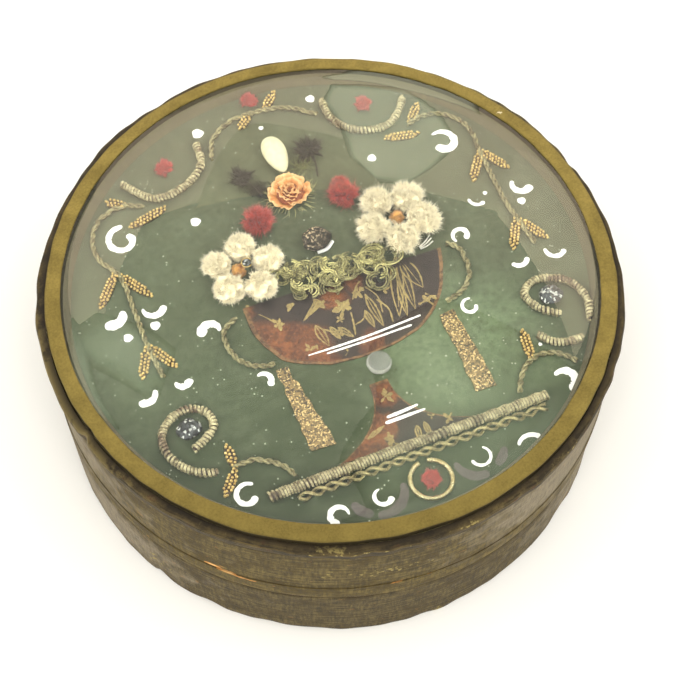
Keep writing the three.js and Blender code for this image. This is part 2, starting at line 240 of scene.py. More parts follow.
class Piece:
    """Points, faces and finishes, gathered for one object."""

    def __init__(self, name, slot, nodes, finishes):
        self.name, self.slot, self.nodes = name, slot, nodes
        self.finishes = finishes
        self.random = np.random.default_rng(list(name.encode()))
        self.points, self.shades, self.faces, self.face_finish = [], [], [], []
        self.marks = {}
        self.count = 0

    def add(self, points, faces, finish=0, shade=1.0):
        """Blocks of faces on new points. A list gives each block its own finish."""
        points = np.asarray(points, float).reshape(-1, 3)
        self.points.append(points)
        self.shades.append(np.broadcast_to(np.asarray(shade, float).reshape(-1), len(points)))
        finishes = finish if isinstance(finish, list) else [finish] * len(faces)
        for block, own in zip(faces, finishes):
            self.faces += (np.asarray(block) + self.count).tolist()
            self.face_finish.append(np.broadcast_to(own, len(block)))
        self.count += len(points)

    def make(self, crease=None):
        mesh = bpy.data.meshes.new(self.name)
        points = np.concatenate(self.points)
        mesh.from_pydata((points * MM).tolist(), [], self.faces)
        mesh.polygons.foreach_set("material_index", np.concatenate(self.face_finish).astype(np.int32))
        mesh.polygons.foreach_set("use_smooth", np.ones(len(self.faces), bool))
        # The shade mark is painted shade, 1 where fully lit and lower where shade falls; on the moss and the
        # fibres it also holds a random tone
        marks = {"shade": np.concatenate(self.shades)}
        marks.update((name, where(points)) for name, where in self.marks.items())
        for name, values in marks.items():
            attribute = mesh.attributes.new(name, "FLOAT", "POINT")
            attribute.data.foreach_set("value", values.astype(np.float32))
        for finish in self.finishes:
            mesh.materials.append(finish)
        if crease:
            mesh.set_sharp_from_angle(angle=math.radians(crease))
        mesh.update()
        made = placed(self.name, mesh)
        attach(made, "root")
        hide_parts(*self.nodes)
        return made


def capped(piece, rows, finish=0, shade=1.0, ends=None):
    """A closed solid through rings of points, both end rings filled."""
    rows = np.asarray(rows, float)
    count, sides = rows.shape[:2]
    first = np.arange(sides)[None, ::-1]
    last = np.arange(sides)[None, :] + (count - 1) * sides
    piece.add(rows, [net(count, sides), first, last], [finish, *(ends or (finish, finish))], shade)


def turned(piece, profile, finish=0, segments=240, wobble=None, shade=1.0, steps=1.2):
    """A ring of surface from its [radius, height] or [radius, height, shift in Y] outline, anticlockwise.

    A finish and a shade may be given for each corner, and wobble moves the points.
    """
    corners = np.array([(list(corner) + [0])[:3] for corner in profile], float)
    finish = np.broadcast_to(finish, len(corners))
    shade = np.broadcast_to(shade, len(corners))
    rows, finishes, shades = [], [], []
    for i, corner in enumerate(corners):
        following = (i + 1) % len(corners)
        span = corners[following] - corner
        parts = max(1, round(np.hypot(*span[:2]) / steps))
        for share in np.arange(parts) / parts:
            rows.append(corner + span * share)
            finishes.append(finish[i])
            shades.append(shade[i] * (1 - share) + shade[following] * share)
    rows = np.array(rows)
    radius, height, around = np.broadcast_arrays(rows[:, :1], rows[:, 1:2], turns(segments))
    if wobble:
        radius, height = wobble(around, radius, height)
    points = np.stack([radius * np.cos(around), radius * np.sin(around) + rows[:, 2:3], height], -1)
    faces = net(len(rows), segments, joined=True)
    piece.add(points, [faces], np.repeat(finishes, segments), np.repeat(shades, segments))


def spun(piece, outline, sides):
    """A solid round the box's axis through [radius, height] rings, from its underside to its top."""
    capped(piece, [circle(0, 0, height, radius, turns(sides)) for radius, height in outline])


def tube(piece, path, radius, sides=6, finish=0, shade=1.0, up=(0, 0, 1), flatten=1.0):
    """A round rod along a path, closed at its ends, flattened by that share across its up direction."""
    side, up = frames(path, up)
    turn = turns(sides)[None, :, None] + math.pi / sides
    across = np.cos(turn) * side[:, None, :]
    over = np.sin(turn) * up[:, None, :] * flatten
    capped(piece, path[:, None, :] + radius * (across + over), finish, shade)


def outward(path, turn):
    """Directions square to a path, turned about it by an angle for each point."""
    side, up = frames(path)
    return np.cos(turn)[:, None] * side + np.sin(turn)[:, None] * up


def twisted(piece, route, radius, pitch, thick=0.56):
    """A cord of two strands laid round each other, each that share of the cord's radius thick."""
    path = smooth_route(raised(route, radius), 0.35)
    length = run_length(path)
    strand = radius * thick
    start = piece.random.uniform(0, FULL)
    for phase in (start, start + math.pi):
        turn = phase + FULL * length / pitch + 0.5 * rumple(length[:, None], pitch * 6, piece.random)
        wound = path + radius * (1.18 - thick) * outward(path, turn)
        wound[:, 2] = np.maximum(wound[:, 2], GROUND + strand)
        tube(piece, wound, strand)


def purl(piece, route, radius, pitch, gaps):
    """A rod wound with fine wire. Where the winding has slipped, its dark core shows."""
    base = smooth_route(raised(route, radius), pitch / 9)
    thick = pitch * 0.42
    length = run_length(base)
    slip = np.clip(rumple(length[:, None], 4, piece.random) - 0.35, 0, 1.2)
    turn = np.cumsum(np.gradient(length) / (pitch * (1 + gaps * slip))) * FULL
    out = outward(base, turn)
    reach = radius - thick * 0.8 + 0.07 * rumple(length[:, None], 1.2, piece.random)
    tube(piece, base + out * reach[:, None], thick, up=out, flatten=0.8)
    tube(piece, base[::6], radius - thick * 1.5, 8, finish=1)


def ball(piece, centre, radii, finish=0, rings=12, sides=20, dents=0.0, size=1.0, shade=1.0):
    """A rounded lump about a centre, with dents of that depth as a share of its radii."""
    points = all_round(rings, sides, 84) * radii
    if dents:
        depth = dents * rumple(points.reshape(-1, 3), size, piece.random)
        points = points * (1 + depth.reshape(rings, sides, 1))
    capped(piece, points + centre, finish, shade)


def spikes(piece, roots, directions, lengths, width, bend, finish=0, shade=(0.35, 1.0), bright=1.0):
    """Fine closed fibres that taper from their roots and bend, between the ground and the glass."""
    count = len(roots)
    directions = unit(directions)
    helper = unit(piece.random.normal(size=(count, 3)))
    side = unit(np.cross(directions, helper))
    over = np.cross(directions, side)
    corners = []
    middle = roots + directions * lengths[:, None] * 0.5
    sway = unit(piece.random.normal(size=(count, 3))) * bend
    for place, share in ((roots, 1.0), (middle, 0.75)):
        for k in range(3):
            turn = k * FULL / 3
            corner = math.cos(turn) * side + math.sin(turn) * over
            corners.append(place + corner * width * share / 2)
    corners.append(roots + directions * lengths[:, None] + sway * lengths[:, None])
    points = np.stack(corners, 1)
    away = np.hypot(points[..., 0], points[..., 1])
    roof = GLASS_LOW + GLASS_RISE * (1 - (away / DOME_RADIUS) ** 2) - FIBRE_TO_GLASS
    points[..., 2] = np.clip(points[..., 2], GROUND + FIBRE_TO_GROUND, roof)
    first = np.arange(count)[:, None] * 7
    caps, sides, tips = [first + [[2, 1, 0]]], [], []
    for k in range(3):
        n = (k + 1) % 3
        sides.append(first + [[k, n, 3 + n, 3 + k]])
        tips.append(first + [[3 + k, 3 + n, 6]])
    # Painted shade at each fibre's root, paler to its tip; bright is a random tone for each fibre
    root_shade, tip_shade = shade
    along = [root_shade] * 3 + [(root_shade + tip_shade) / 2] * 3 + [tip_shade]
    shades = np.repeat(np.broadcast_to(bright, count), 7) * np.tile(along, count)
    piece.add(points, caps + sides + tips, finish, shades)


def flat_sheet(piece, outline, centre, base=0.0, finish=0, edge=0, edge_share=0.97, curl=0.0):
    """A sheet of paper that fills an outline listed anticlockwise, with an edge band of its own finishes."""
    outline, centre = np.asarray(outline, float), np.asarray(centre, float)
    shares = [1.0, edge_share, 0.75, 0.5, 0.25, 0.02]
    uneven = rumple(outline, 3.5, piece.random)
    rows = []
    for height, inward in ((base, shares[::-1]), (base + PAPER, shares)):
        for share in inward:
            rise = curl * (1 + uneven) * max(0, share - 0.7) / 0.3
            rows.append(np.column_stack([centre + (outline - centre) * share, GROUND + height + rise]))
    middle = len(shares)
    finishes = np.full((len(rows) - 1, len(outline)), finish)
    finishes[middle - 2:middle + 1] = edge
    capped(piece, rows, finishes.reshape(-1), ends=(finish, finish))


def stroke(piece, route, widths, base, height, finish, rough):
    """A stroke of thick paint or print whose width changes along its route, round at both ends."""
    length = run_length(np.asarray(route, float))
    path = smooth_route(raised(route, base), 0.14)
    along = run_length(path) / max(run_length(path)[-1], 1e-6)
    width = np.interp(along, length / length[-1], widths) / 2
    to_end = np.minimum(along, 1 - along) * length[-1] / np.maximum(width, 0.05)
    cap = np.minimum(1, np.sqrt(np.maximum(0.02, 1 - (1 - to_end).clip(0) ** 2)))
    width = width * cap * (1 + rough * rumple(path[:, :2], 0.5, piece.random))
    side, _ = frames(path)
    rows = []
    for share, rise in ((-1, 0.0), (1, 0.0), (0.8, 0.75), (0, 1.0), (-0.8, 0.75)):
        row = path + side * (width * share)[:, None]
        row[:, 2] += height * rise * np.minimum(1, cap + 0.2)
        rows.append(row)
    capped(piece, np.stack(rows, 1), finish)


def spot(piece, x, y, radius, finish):
    """A round dab of paint."""
    turn = turns(20)
    rim = radius * (1 + 0.07 * np.sin(3 * turn + x) + 0.04 * np.sin(5 * turn + y))
    steps = ((0.05, 0), (1, 0), (0.9, 0.7), (0.5, 1), (0.05, 1))
    rows = [circle(x, y, GROUND - SUNK + DAB_HEIGHT * rise, rim * share, turn) for share, rise in steps]
    capped(piece, rows, finish)


def arc(x, y, radius, start, sweep, curl=1.0, points=9):
    """Points on a scroll about a centre. Its radius ends at curl times what it starts with."""
    share = np.linspace(0, 1, points)
    turn = np.radians(start + sweep * share)
    reach = radius * (1 + (curl - 1) * share)
    return np.column_stack([x + reach * np.cos(turn), y + reach * np.sin(turn)])


# Finishes
class Finish:
    """A procedural material whose nodes read the piece's own coordinates, in millimetres."""

    def __init__(self, name, **settings):
        self.material = bpy.data.materials.new(name)
        self.material.use_nodes = True
        self.tree = self.material.node_tree
        self.shader = self.tree.nodes["Principled BSDF"]
        for key, value in settings.items():
            self.shader.inputs[key.replace("_", " ")].default_value = value
        place = self.tree.nodes.new("ShaderNodeTexCoord").outputs["Object"]
        scaled = self.node("ShaderNodeVectorMath", {0: place, "Scale": 1 / MM}, operation="SCALE")
        self.place = scaled.outputs["Vector"]

    def node(self, kind, inputs, **settings):
        made = self.tree.nodes.new(kind)
        for key, value in settings.items():
            setattr(made, key, value)
        for key, value in inputs.items():
            if isinstance(value, bpy.types.NodeSocket):
                self.tree.links.new(value, made.inputs[key])
            else:
                made.inputs[key].default_value = value
        return made

    def stretched(self, size, stretch):
        scale = [1 / (size * axis) for axis in stretch]
        node = self.node("ShaderNodeVectorMath", {0: self.place, 1: scale}, operation="MULTIPLY")
        return node.outputs["Vector"]

    def noise(self, size, detail=3.0, stretch=(1, 1, 1), rough=0.5, twist=0.0):
        inputs = {"Vector": self.stretched(size, stretch), "Scale": 1.0, "Detail": detail}
        inputs.update({"Roughness": rough, "Distortion": twist})
        return self.node("ShaderNodeTexNoise", inputs).outputs["Fac"]

    def cells(self, size, output="Distance"):
        inputs = {"Vector": self.stretched(size, (1, 1, 1)), "Scale": 1.0}
        return self.node("ShaderNodeTexVoronoi", inputs).outputs[output]

    def grains(self, size):
        """Three random numbers for each cell of that size."""
        return self.node("ShaderNodeSeparateColor", {"Color": self.cells(size, "Color")}).outputs

    def mark(self, name):
        return self.node("ShaderNodeAttribute", {}, attribute_name=name).outputs["Fac"]

    def ramp(self, value, start, end, first=0.0, last=1.0):
        inputs = {"Value": value, "From Min": start, "From Max": end, "To Min": first, "To Max": last}
        return self.node("ShaderNodeMapRange", inputs).outputs["Result"]

    def sum(self, a, b, operation="ADD"):
        return self.node("ShaderNodeMath", {0: a, 1: b}, operation=operation).outputs["Value"]

    def times(self, a, b):
        return self.sum(a, b, "MULTIPLY")

    def ragged(self, value, noise, amount, spread=0.2):
        """The value, more or less by up to that amount with the noise."""
        return self.sum(value, self.ramp(noise, 0.5 - spread, 0.5 + spread, -amount, amount))

    def away(self, x, y, z=GROUND):
        """How far off a place is."""
        inputs = {0: self.place, 1: (x, y, z)}
        return self.node("ShaderNodeVectorMath", inputs, operation="DISTANCE").outputs["Value"]

    def axis(self, name):
        return self.node("ShaderNodeSeparateXYZ", {"Vector": self.place}).outputs[name]

    def mix(self, factor, first, last):
        """Indices 6, 7 and 2 are the node's colour sockets."""
        first = first if isinstance(first, bpy.types.NodeSocket) else (*first, 1)
        last = last if isinstance(last, bpy.types.NodeSocket) else (*last, 1)
        made = self.node("ShaderNodeMix", {0: factor, 6: first, 7: last}, data_type="RGBA")
        return made.outputs[2]

    def tint(self, colour, value, start, end, tone, most=1.0):
        """The colour, turned towards a tone as the value goes from start to end."""
        return self.mix(self.ramp(value, start, end, 0, most), colour, tone)

    def set(self, socket, value):
        self.tree.links.new(value, self.shader.inputs[socket])

    def bump(self, height, distance, strength=1.0):
        inputs = {"Height": height, "Distance": distance * MM, "Strength": strength}
        self.set("Normal", self.node("ShaderNodeBump", inputs).outputs["Normal"])

    def done(self, colour, height, distance, strength):
        """Sets the colour and the relief, and gives the material."""
        self.set("Base Color", colour)
        self.bump(height, distance, strength)
        return self.material


GILT_TRACE = (0.36, 0.28, 0.09)
PAINTED_SIDE_LIGHT = (0.33, 0.28, 0.2)


def wall_paper(name, deep, light, stain):
    """Worn grey-brown paper with upright fibres, level scuffs, stains and traces of gilt, paler on its sides as
    painted light and darker as painted shade where the shade mark is low.
    """
    f = Finish(name, Specular_IOR_Level=0.2)
    fibre = f.noise(0.5, 4, (1, 1, 5), 0.6)
    scuff = f.noise(0.35, 3, (9, 9, 1), 0.6)
    blotch = f.noise(5, 5, (1, 1, 0.7), 0.65)
    level = f.noise(0.3, 3, (40, 40, 1), 0.6)
    tone = f.sum(f.times(fibre, 0.5), f.times(scuff, 0.5))
    colour = f.tint(deep, tone, 0.4, 0.6, light)
    colour = f.tint(colour, level, 0.46, 0.36, deep, 0.75)
    colour = f.tint(colour, level, 0.58, 0.68, light, 0.4)
    colour = f.tint(colour, blotch, 0.48, 0.66, stain, 0.75)
    # Painted light: paler on the left, the right and the back, where more light falls
    pale = f.ramp(f.ragged(f.mark("pale"), f.noise(3, 4), 0.3), 0.25, 0.9, 0, 0.75)
    colour = f.mix(f.times(pale, f.ramp(tone, 0.35, 0.6, 0.4, 1.0)), colour, PAINTED_SIDE_LIGHT)
    gilt = f.ragged(f.mark("gilt"), f.noise(0.9, 4), 0.5)
    colour = f.tint(colour, gilt, 0.45, 0.7, GILT_TRACE, 0.85)
    worn = f.ragged(f.mark("worn"), f.noise(1.4, 4, (2, 2, 1)), 0.45)
    colour = f.tint(colour, worn, 0.42, 0.58, (0.58, 0.27, 0.07))
    colour = f.tint(colour, worn, 0.8, 1.1, (0.85, 0.52, 0.2))
    # Painted shade: darker where the shade mark is low, at the foot, at the seam, under the rim and inside
    colour = f.tint(colour, f.mark("shade"), 1.0, 0.0, (0.03, 0.018, 0.006), 0.9)
    f.set("Roughness", f.ramp(tone, 0.3, 0.7, 0.55, 0.85))
    return f.done(colour, f.sum(f.sum(tone, level), f.times(blotch, 0.7)), 0.2, 0.9)


def rim_paper():
    """Dark worn paper, brown-red and olive in places, with traces of gilt and painted shade where the shade mark
    is low.
    """
    f = Finish("rim_paper", Roughness=0.6, Specular_IOR_Level=0.2)
    worn = f.noise(2.2, 5, (1, 1, 0.6), 0.7)
    level = f.noise(0.3, 3, (30, 30, 1), 0.6)
    tone = f.sum(f.times(worn, 0.5), f.times(level, 0.5))
    colour = f.tint((0.026, 0.018, 0.006), tone, 0.42, 0.58, (0.115, 0.08, 0.026))
    colour = f.tint(colour, f.noise(1.3, 4, (2, 2, 1)), 0.62, 0.72, (0.1, 0.035, 0.014), 0.8)
    colour = f.tint(colour, f.ragged(f.mark("olive"), worn, 0.4, 0.15), 0.4, 0.8, (0.2, 0.15, 0.05), 0.8)
    gilt = f.ragged(f.mark("gilt"), f.noise(0.7, 4), 0.5)
    colour = f.tint(colour, gilt, 0.45, 0.7, GILT_TRACE, 0.85)
    # Painted shade: darker under the rim and on its top by the ring
    colour = f.tint(colour, f.mark("shade"), 1.0, 0.0, (0.015, 0.01, 0.005), 0.95)
    return f.done(colour, f.sum(worn, level), 0.18, 0.9)


def gilt_paper(name="old_gilt_paper", light=(0.27, 0.2, 0.042), deep=(0.145, 0.105, 0.016)):
    """Matt old gold, rubbed in small places and chipped where the piece is marked, darker on the ring's front and
    where the shade mark is low, as painted shade.
    """
    f = Finish(name, Metallic=0.25, Specular_IOR_Level=0.3)
    fine = f.noise(0.35, 4, rough=0.7)
    broad = f.noise(4, 4)
    colour = f.tint(deep, f.sum(f.times(fine, 0.6), f.times(broad, 0.4)), 0.38, 0.62, light)
    colour = f.tint(colour, f.noise(1.8, 5, rough=0.75), 0.66, 0.74, (0.12, 0.1, 0.045))
    # Painted shade: darker over the front of the ring, where less light falls
    colour = f.mix(f.times(f.mark("front_shade"), 0.4), colour, (0.12, 0.085, 0.014))
    colour = f.tint(colour, f.ragged(f.mark("chip"), fine, 0.4), 0.4, 0.6, (0.62, 0.55, 0.36))
    # Painted shade where the shade mark is low
    colour = f.tint(colour, f.mark("shade"), 1.0, 0.0, (0.02, 0.014, 0.006))
    f.set("Roughness", f.ramp(fine, 0.3, 0.7, 0.42, 0.65))
    return f.done(colour, f.sum(fine, broad), 0.05, 0.7)


def plain_card(name, deep, light):
    f = Finish(name, Roughness=0.85)
    pulp = f.noise(0.6, 5, rough=0.7)
    colour = f.tint(deep, pulp, 0.35, 0.65, light)
    return f.done(f.tint(colour, f.noise(9, 4), 0.5, 0.7, deep, 0.4), pulp, 0.08, 0.7)


def painted_ground():
    """Matt green paint, deeper towards the picture's foot, paler right of the bowl's foot where part of a
    reflection on the glass is painted in, with fine dust on it.
    """
    f = Finish("painted_green", Roughness=0.85, Specular_IOR_Level=0.2)
    blotch = f.noise(14, 4, rough=0.55)
    grain = f.noise(0.9, 3, rough=0.7)
    cloud = f.noise(4.5, 5, (1.6, 0.8, 1), rough=0.65, twist=0.6)
    lean = f.sum(f.axis("Y"), f.times(f.axis("X"), 0.45))
    colour = f.tint((0.046, 0.062, 0.028), lean, -24, 22, (0.088, 0.094, 0.052))
    colour = f.tint(colour, f.times(f.axis("X"), -1), 20, 42, (0.1, 0.122, 0.07), 0.6)
    # Painted reflection: paler right of the bowl's foot, in place of part of the glass's reflection there
    lighter = f.ragged(f.times(f.away(14, -18), 1 / 13), blotch, 0.3)
    colour = f.tint(colour, lighter, 1.45, 0.6, (0.115, 0.152, 0.08))
    colour = f.tint(colour, f.sum(lean, f.times(blotch, 8)), -20, -38, (0.02, 0.029, 0.009), 0.75)
    colour = f.tint(colour, cloud, 0.42, 0.68, (0.135, 0.158, 0.1), 0.3)
    colour = f.mix(f.ramp(grain, 0.35, 0.6, 0.5, 0.0), colour, (0.026, 0.04, 0.017))
    dust = f.times(f.ramp(f.cells(1.3), 0.15, 0.09), f.ramp(f.noise(3, 2), 0.46, 0.54))
    return f.done(f.mix(dust, colour, (0.32, 0.34, 0.26)), blotch, 0.06, 0.4)


def brushed_paint(name, light, deep):
    f = Finish(name)
    streak = f.noise(0.4, 3, rough=0.6)
    return f.done(f.tint(deep, streak, 0.35, 0.6, light), streak, 0.04, 0.4)


def shell_paper(shift, patches):
    """Tortoiseshell paper: dark grey-violet, rust at its lower left and in patches of x, y, radius."""
    f = Finish("tortoiseshell_paper", Specular_IOR_Level=0.3)
    mottle = f.noise(2.2, 5, rough=0.65)
    fine = f.noise(0.5, 4, rough=0.7)
    rust = f.tint((0.05, 0.013, 0.006), mottle, 0.4, 0.62, (0.17, 0.052, 0.013))
    rust = f.tint(rust, fine, 0.5, 0.78, (0.34, 0.16, 0.045), 0.55)
    violet = f.tint((0.011, 0.007, 0.005), mottle, 0.3, 0.7, (0.035, 0.023, 0.018))
    lean = f.sum(f.axis("Y"), f.times(f.axis("X"), 0.48))
    lower = f.ramp(f.ragged(lean, mottle, 1.6, 0.3), shift + 0.8, shift - 0.8)
    amount = f.times(lower, f.ramp(f.ragged(f.axis("X"), mottle, 2, 0.3), -3.4, -5.2))
    for x, y, radius in patches:
        away = f.ragged(f.away(x, y, GROUND + PAPER), mottle, 1.5, 0.3)
        amount = f.sum(amount, f.ramp(away, radius + 0.5, radius - 0.5), "MAXIMUM")
    return f.done(f.mix(amount, violet, rust), fine, 0.03, 0.5)


def copper_edge():
    f = Finish("worn_copper_edge", Metallic=0.35)
    rub = f.noise(1.1, 4, rough=0.7)
    return f.done(f.tint((0.05, 0.024, 0.009), rub, 0.38, 0.62, (0.2, 0.11, 0.042)), rub, 0.06, 0.8)


def glitter_paper():
    f = Finish("gold_glitter_paper", Roughness=0.6, Metallic=0.1)
    speck = f.grains(0.22)["Red"]
    colour = f.tint((0.022, 0.014, 0.005), speck, 0.15, 0.6, (0.22, 0.148, 0.05))
    colour = f.tint(colour, speck, 0.78, 0.86, (0.56, 0.42, 0.18))
    return f.done(colour, f.noise(0.3, 3), 0.02, 0.5)


def wire(name, deep, light, roughness=0.35, metallic=0.8, size=1.2, dark=None):
    """Fine metal wire, tarnished in patches. Where a dark tone is given, stretches of it are stained."""
    f = Finish(name, Metallic=metallic)
    tarnish = f.noise(size, 4, rough=0.6)
    fine = f.noise(0.18, 3)
    colour = f.tint(deep, f.sum(f.times(tarnish, 0.7), f.times(fine, 0.3)), 0.38, 0.6, light)
    if dark:
        colour = f.tint(colour, f.noise(4, 3, rough=0.6), 0.56, 0.66, dark, 0.85)
    f.set("Roughness", f.ramp(tarnish, 0.3, 0.7, roughness + 0.15, roughness - 0.08))
    return f.done(f.tint(colour, f.mark("shade"), 1.0, 0.0, deep, 0.9), fine, 0.03, 0.6)


def pile(name, deep, light, size=1.4, sheen=0.3):
    """Fuzzy pile, with painted shade at the fibres' roots and on the lump beneath them, and painted light at
    their tips.
    """
    f = Finish(name, Roughness=0.95, Sheen_Weight=sheen)
    # Painted shade and light: dark where the shade mark is low, light where it is high
    lit = f.sum(f.mark("shade"), f.ramp(f.noise(size, 3), 0.3, 0.7, -0.35, 0.15))
    return f.done(f.tint(deep, lit, 0.1, 0.9, light), f.noise(0.2, 3), 0.05, 0.6)


def thin_paper(name, deep, light, pale):
    """Dyed paper, with painted shade where the shade mark is low, such as the feet of a rose's petals, and paler
    where it is high.
    """
    f = Finish(name, Roughness=0.7)
    lit = f.ragged(f.mark("shade"), f.noise(0.9, 4, rough=0.6), 0.2)
    colour = f.tint(deep, lit, 0.1, 0.65, light)
    return f.done(f.tint(colour, lit, 0.8, 1.1, pale), f.noise(0.35, 4), 0.06, 0.7)


def ore():
    """Dark stone with painted glints of light, only towards its upper left."""
    f = Finish("ore", Roughness=0.55, Specular_IOR_Level=0.25)
    grain = f.grains(0.33)
    # Painted glints: light flecks only towards the upper left, where light falls
    upper = f.ramp(f.sum(f.times(f.axis("X"), -1), f.axis("Y")), 5, 12)
    glint = f.times(f.ramp(grain["Green"], 0.7, 0.85), upper)
    tone = f.mix(grain["Red"], (0.005, 0.004, 0.002), (0.035, 0.025, 0.013))
    return f.done(f.mix(glint, tone, (0.6, 0.48, 0.3)), f.sum(grain["Blue"], f.noise(0.4, 3)), 0.1, 0.8)


def foil():
    """Dark glass over crumpled foil."""
    f = Finish("foiled_stone", Roughness=0.18, Coat_Weight=0.3)
    crumple = f.grains(0.42)
    glint = f.ramp(crumple["Green"], 0.74, 0.84)
    tone = f.mix(crumple["Red"], (0.006, 0.007, 0.008), (0.09, 0.1, 0.1))
    f.set("Metallic", f.ramp(glint, 0, 1, 0.3, 0.9))
    return f.done(f.mix(glint, tone, (0.85, 0.88, 0.85)), f.sum(crumple["Blue"], f.noise(0.5, 3)), 0.3, 1.0)


def clear(name, roughness, tint, transmission=1.0, relief=0.15):
    f = Finish(name, Base_Color=(*tint, 1), Roughness=roughness, Transmission_Weight=transmission, IOR=1.45)
    f.bump(f.noise(12, 2), 0.05, relief)
    return f.material


# The box
def side_marks(kinds):
    """For each kind of mark, how strong it is at a point on the side."""
    def strength(spots, points):
        theta = np.arctan2(points[:, 1], points[:, 0])
        total = np.zeros(len(points))
        for azimuth, height, width, tall, most in spots:
            total += most * patch(theta, azimuth, width) * np.exp(-(((points[:, 2] - height) / tall) ** 2))
        return total
    return {kind: partial(strength, spots) for kind, spots in kinds.items()}


# Marks on the side: azimuth, height, half width in degrees, half height and strength
BASE_MARKS = {
    "gilt": [(22, 0.6, 1.2, 1, 1.1), (-38, 6, 3, 3, 0.5), (60, 12, 6, 4, 0.4)],
    # pale: painted light, paler where more light falls on the sides and the back
    "pale": [(-55, 8, 26, 8, 1.1), (64, 9, 24, 8, 0.8), (140, 8, 40, 8, 0.4)],
}
LID_MARKS = {
    "gilt": [
        (-0.5, 36, 3, 0.5, 0.62), (26, 35.6, 2.4, 0.4, 0.75), (4, 35.2, 12, 0.25, 0.5),
        (11, 26, 9, 1.6, 0.4), (-0.6, 26, 0.9, 2, 0.5), (52, 35.5, 3, 0.4, 0.4),
        (-30, 35.4, 2, 0.4, 0.4), (-70, 35.4, 2.5, 0.5, 0.5),
    ],
    # pale: painted light, paler where more light falls on the sides and the back
    "pale": [(-62, 27, 22, 9, 1.0), (55, 28, 28, 9, 1.35), (180, 27, 60, 9, 0.4)],
    "olive": [(-62, 36, 26, 2, 1.0), (40, 36, 14, 1, 0.5), (150, 36, 30, 2, 0.7)],
    "worn": [
        (-23.5, 20.9, 1.6, 0.42, 1.3), (-20.5, 20.3, 2, 0.38, 1.2), (-16.5, 19.9, 3, 0.3, 1.05),
        (-11, 19.5, 4, 0.22, 0.8), (8, 20.1, 6, 0.2, 0.4),
    ],
}
CREASE_AZIMUTH = -38.8
BASE_CREASE = 0.28
CRUSH_DEPTH = 0.4
CRUSH_HEIGHT = 1.2
SEAM_GAP = 0.32


def make_base(card, paper, lining):
    wall = Piece("base_wall_papered", "band_paper", ["base_wall"], [paper, card])
    inner = WALL_RADIUS - WALL_THICKNESS
    bevel = 0.4
    top = SEAM - 0.05

    def wobble(theta, radius, height):
        outside = np.clip((radius - inner) / WALL_THICKNESS, 0, 1)
        edge = np.exp(-((height / CRUSH_HEIGHT) ** 2))
        crushed = CRUSH_DEPTH * (0.5 + 0.5 * ripple(theta, 11, 5, 60, 0.4)).clip(0, 1.4)
        off = (theta - angle_at(CREASE_AZIMUTH) + math.pi) % FULL - math.pi
        crease = BASE_CREASE * np.exp(-(off / 0.05).clip(0) ** 2) * (off > 0) * (height < 14.5)
        dent = 0.5 * patch(theta, 55.8, 2.5) * np.exp(-(((height - 1) / 2) ** 2))
        bow = 0.12 * ripple(theta, 12, 2, 9) * np.sin(math.pi * height / SEAM)
        radius = radius + outside * (bow - crushed * edge - crease - dent)
        rise = 0.16 * ripple(theta, 13, 3, 40, 0.6) * (height > SEAM - 1)
        lift = 0.12 * (0.5 + ripple(theta, 14, 9, 70, 0.2)).clip(0) * (height < 0.5) * outside
        return radius, height + rise + lift

    # Each corner's shade is painted shade: a contact shadow at the foot, and dark at the top under the lid
    turned(wall, [
        (inner, 0), (WALL_RADIUS - bevel, 0), (WALL_RADIUS, bevel), (WALL_RADIUS, 1.4),
        (WALL_RADIUS, top - 0.5), (WALL_RADIUS - 0.15, top), (inner, top),
    ], finish=[0, 0, 0, 0, 0, 1, 1], segments=480, wobble=wobble,
        shade=[0.6, 0.55, 0.8, 1, 1, 0.35, 0.4], steps=0.8)
    wall.marks = side_marks(BASE_MARKS)
    wall.make(crease=40)

    neck = Piece("base_neck_lined", "inner_paper", ["base_neck"], [lining])
    turned(neck, [
        (NECK_RADIUS - NECK_THICKNESS, NECK_LOW), (NECK_RADIUS, NECK_LOW),
        (NECK_RADIUS, NECK_TOP), (NECK_RADIUS - NECK_THICKNESS, NECK_TOP),
    ])
    neck.make(crease=40)

    floor = Piece("base_card_disc", "plain_card", ["base_bottom"], [card])
    edge, top = high("base_bottom")[1:]
    across = np.linspace(0.4, edge, 12)
    spun(floor, [(radius, 0) for radius in across] + [(radius, top) for radius in across[::-1]], 180)
    floor.make(crease=40)


